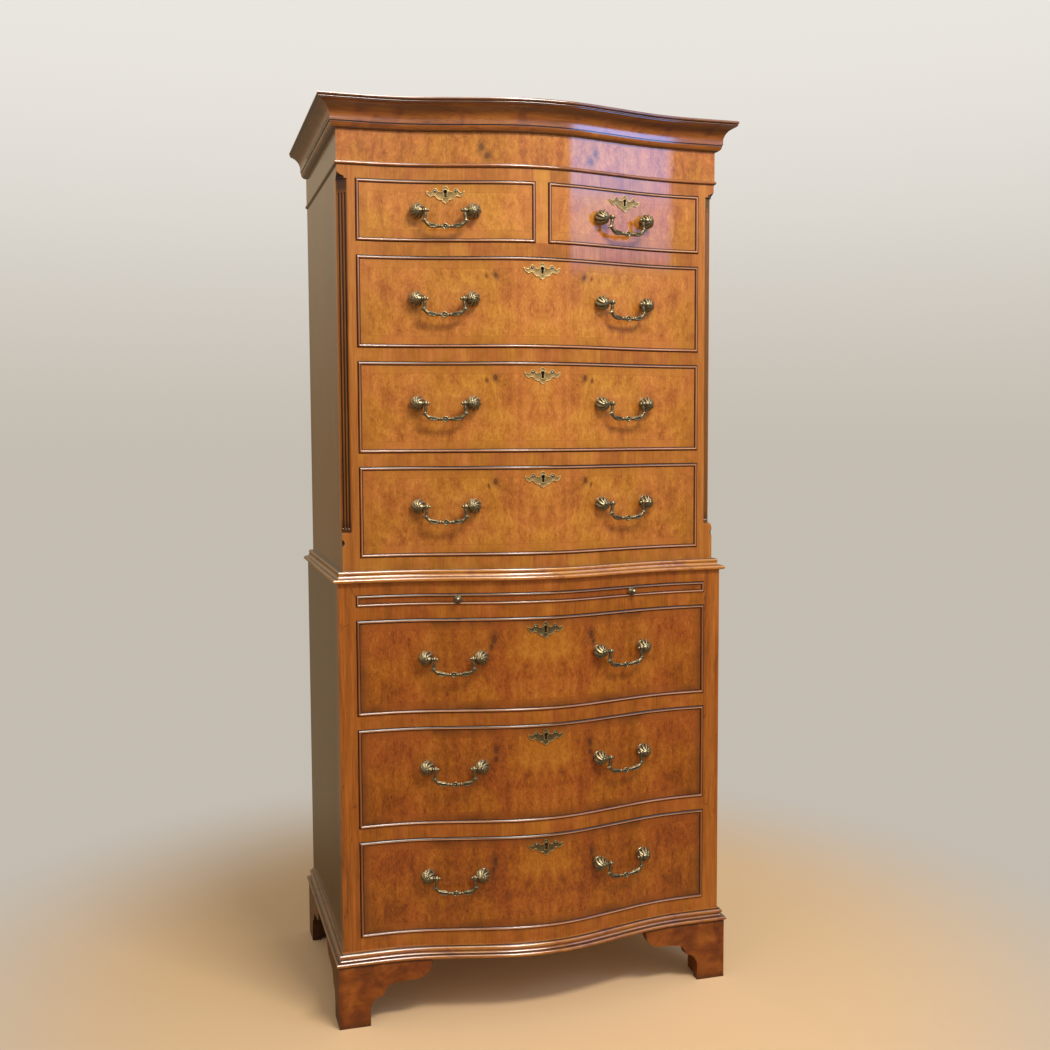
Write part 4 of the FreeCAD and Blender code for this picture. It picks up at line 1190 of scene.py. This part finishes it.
def setFloor(settings):
    bpy.ops.mesh.primitive_circle_add(vertices=96, radius=12, fill_type="NGON", location=(0, 0, -0.0005))
    floor = bpy.context.object
    floor.name = "studioFloor"
    material = bpy.data.materials.new("studioFloorPaint")
    tree = emptyTree(material)
    x, y, z = split(ownPlace(tree))
    away = calc("SQRT", plus(times(x, x), times(y, y)))
    far = smooth(away, settings["fadeStart"], settings["fadeEnd"])
    paint = put("BsdfDiffuse", {"Color": seen(tree, settings["floorColour"], settings["floorSeen"])})
    mirrored = blend(smooth(y, 0.4, -0.4), settings["wallLowSeen"], settings["roomLow"])
    distant = seen(tree, settings["wallLow"], mirrored)
    glow = put("Emission", {"Color": distant, "Strength": 1.0})
    shown(tree, "Material", times(far, looked(tree)), paint, glow)
    floor.data.materials.append(material)


def setWorld(settings):
    world = bpy.data.worlds.new("studioWorld")
    bpy.context.scene.world = world
    tree = emptyTree(world)
    x, y, z = split(put("TexCoord", tree=tree))
    rise = smooth(z, -0.04, 0.32)
    wall = blend(rise, settings["wallLow"], settings["wallHigh"])
    wallSeen = blend(rise, settings["wallLowSeen"], settings["wallHighSeen"])
    room = blend(smooth(z, 0.02, 0.24), settings["roomLow"], settings["roomHigh"])
    lit = smooth(offFrom(x, 0.04), 0.08, 0.20)
    lit = blend(lit, settings["skylightSeen"], settings["ceilingSeen"])
    room = blend(smooth(z, 0.34, 0.50), room, lit)
    mirrored = blend(smooth(y, 0.35, -0.25), wallSeen, room)
    view = put("Background", {"Color": seen(tree, wall, mirrored), "Strength": 1.0})
    strength = smooth(y, -0.85, 0.45, settings["frontLight"], settings["backLight"])
    light = put("Background", {"Color": settings["lightColour"], "Strength": strength})
    shown(tree, "World", looked(tree), light, view)


lampSettings = {
    "window": {"place": (2.15, -2.15, 2.42), "target": (0.15, -0.22, 1.30), "size": (1.15, 0.60),
               "power": 12.5, "colour": (0.16, 0.42, 1.0)},
    "windowLow": {"place": (2.13, -2.13, 1.98), "target": (0.15, -0.22, 1.30), "size": (1.15, 0.28),
                  "power": 2.8, "colour": (0.24, 0.44, 1.0)},
    "ceiling": {"place": (0.45, -1.9, 2.95), "target": (0.0, -0.25, 1.0), "size": (1.1, 0.45),
                "power": 50, "colour": (1.0, 0.97, 0.92)}}


def setLamp(name, settings):
    bpy.ops.object.light_add(type="AREA", location=settings["place"])
    lamp = bpy.context.object
    lamp.name = name + "Lamp"
    lamp.data.shape = "RECTANGLE"
    lamp.data.size, lamp.data.size_y = settings["size"]
    lamp.data.energy = settings["power"]
    lamp.data.color = settings["colour"]
    aim = Vector(settings["target"]) - Vector(settings["place"])
    lamp.rotation_euler = aim.to_track_quat("-Z", "Y").to_euler()


setFloor(stageSettings)
setWorld(stageSettings)
for name, settings in lampSettings.items():
    setLamp(name, settings)
bpy.context.scene.view_settings.view_transform = "Standard"
print("stage and lamps set")
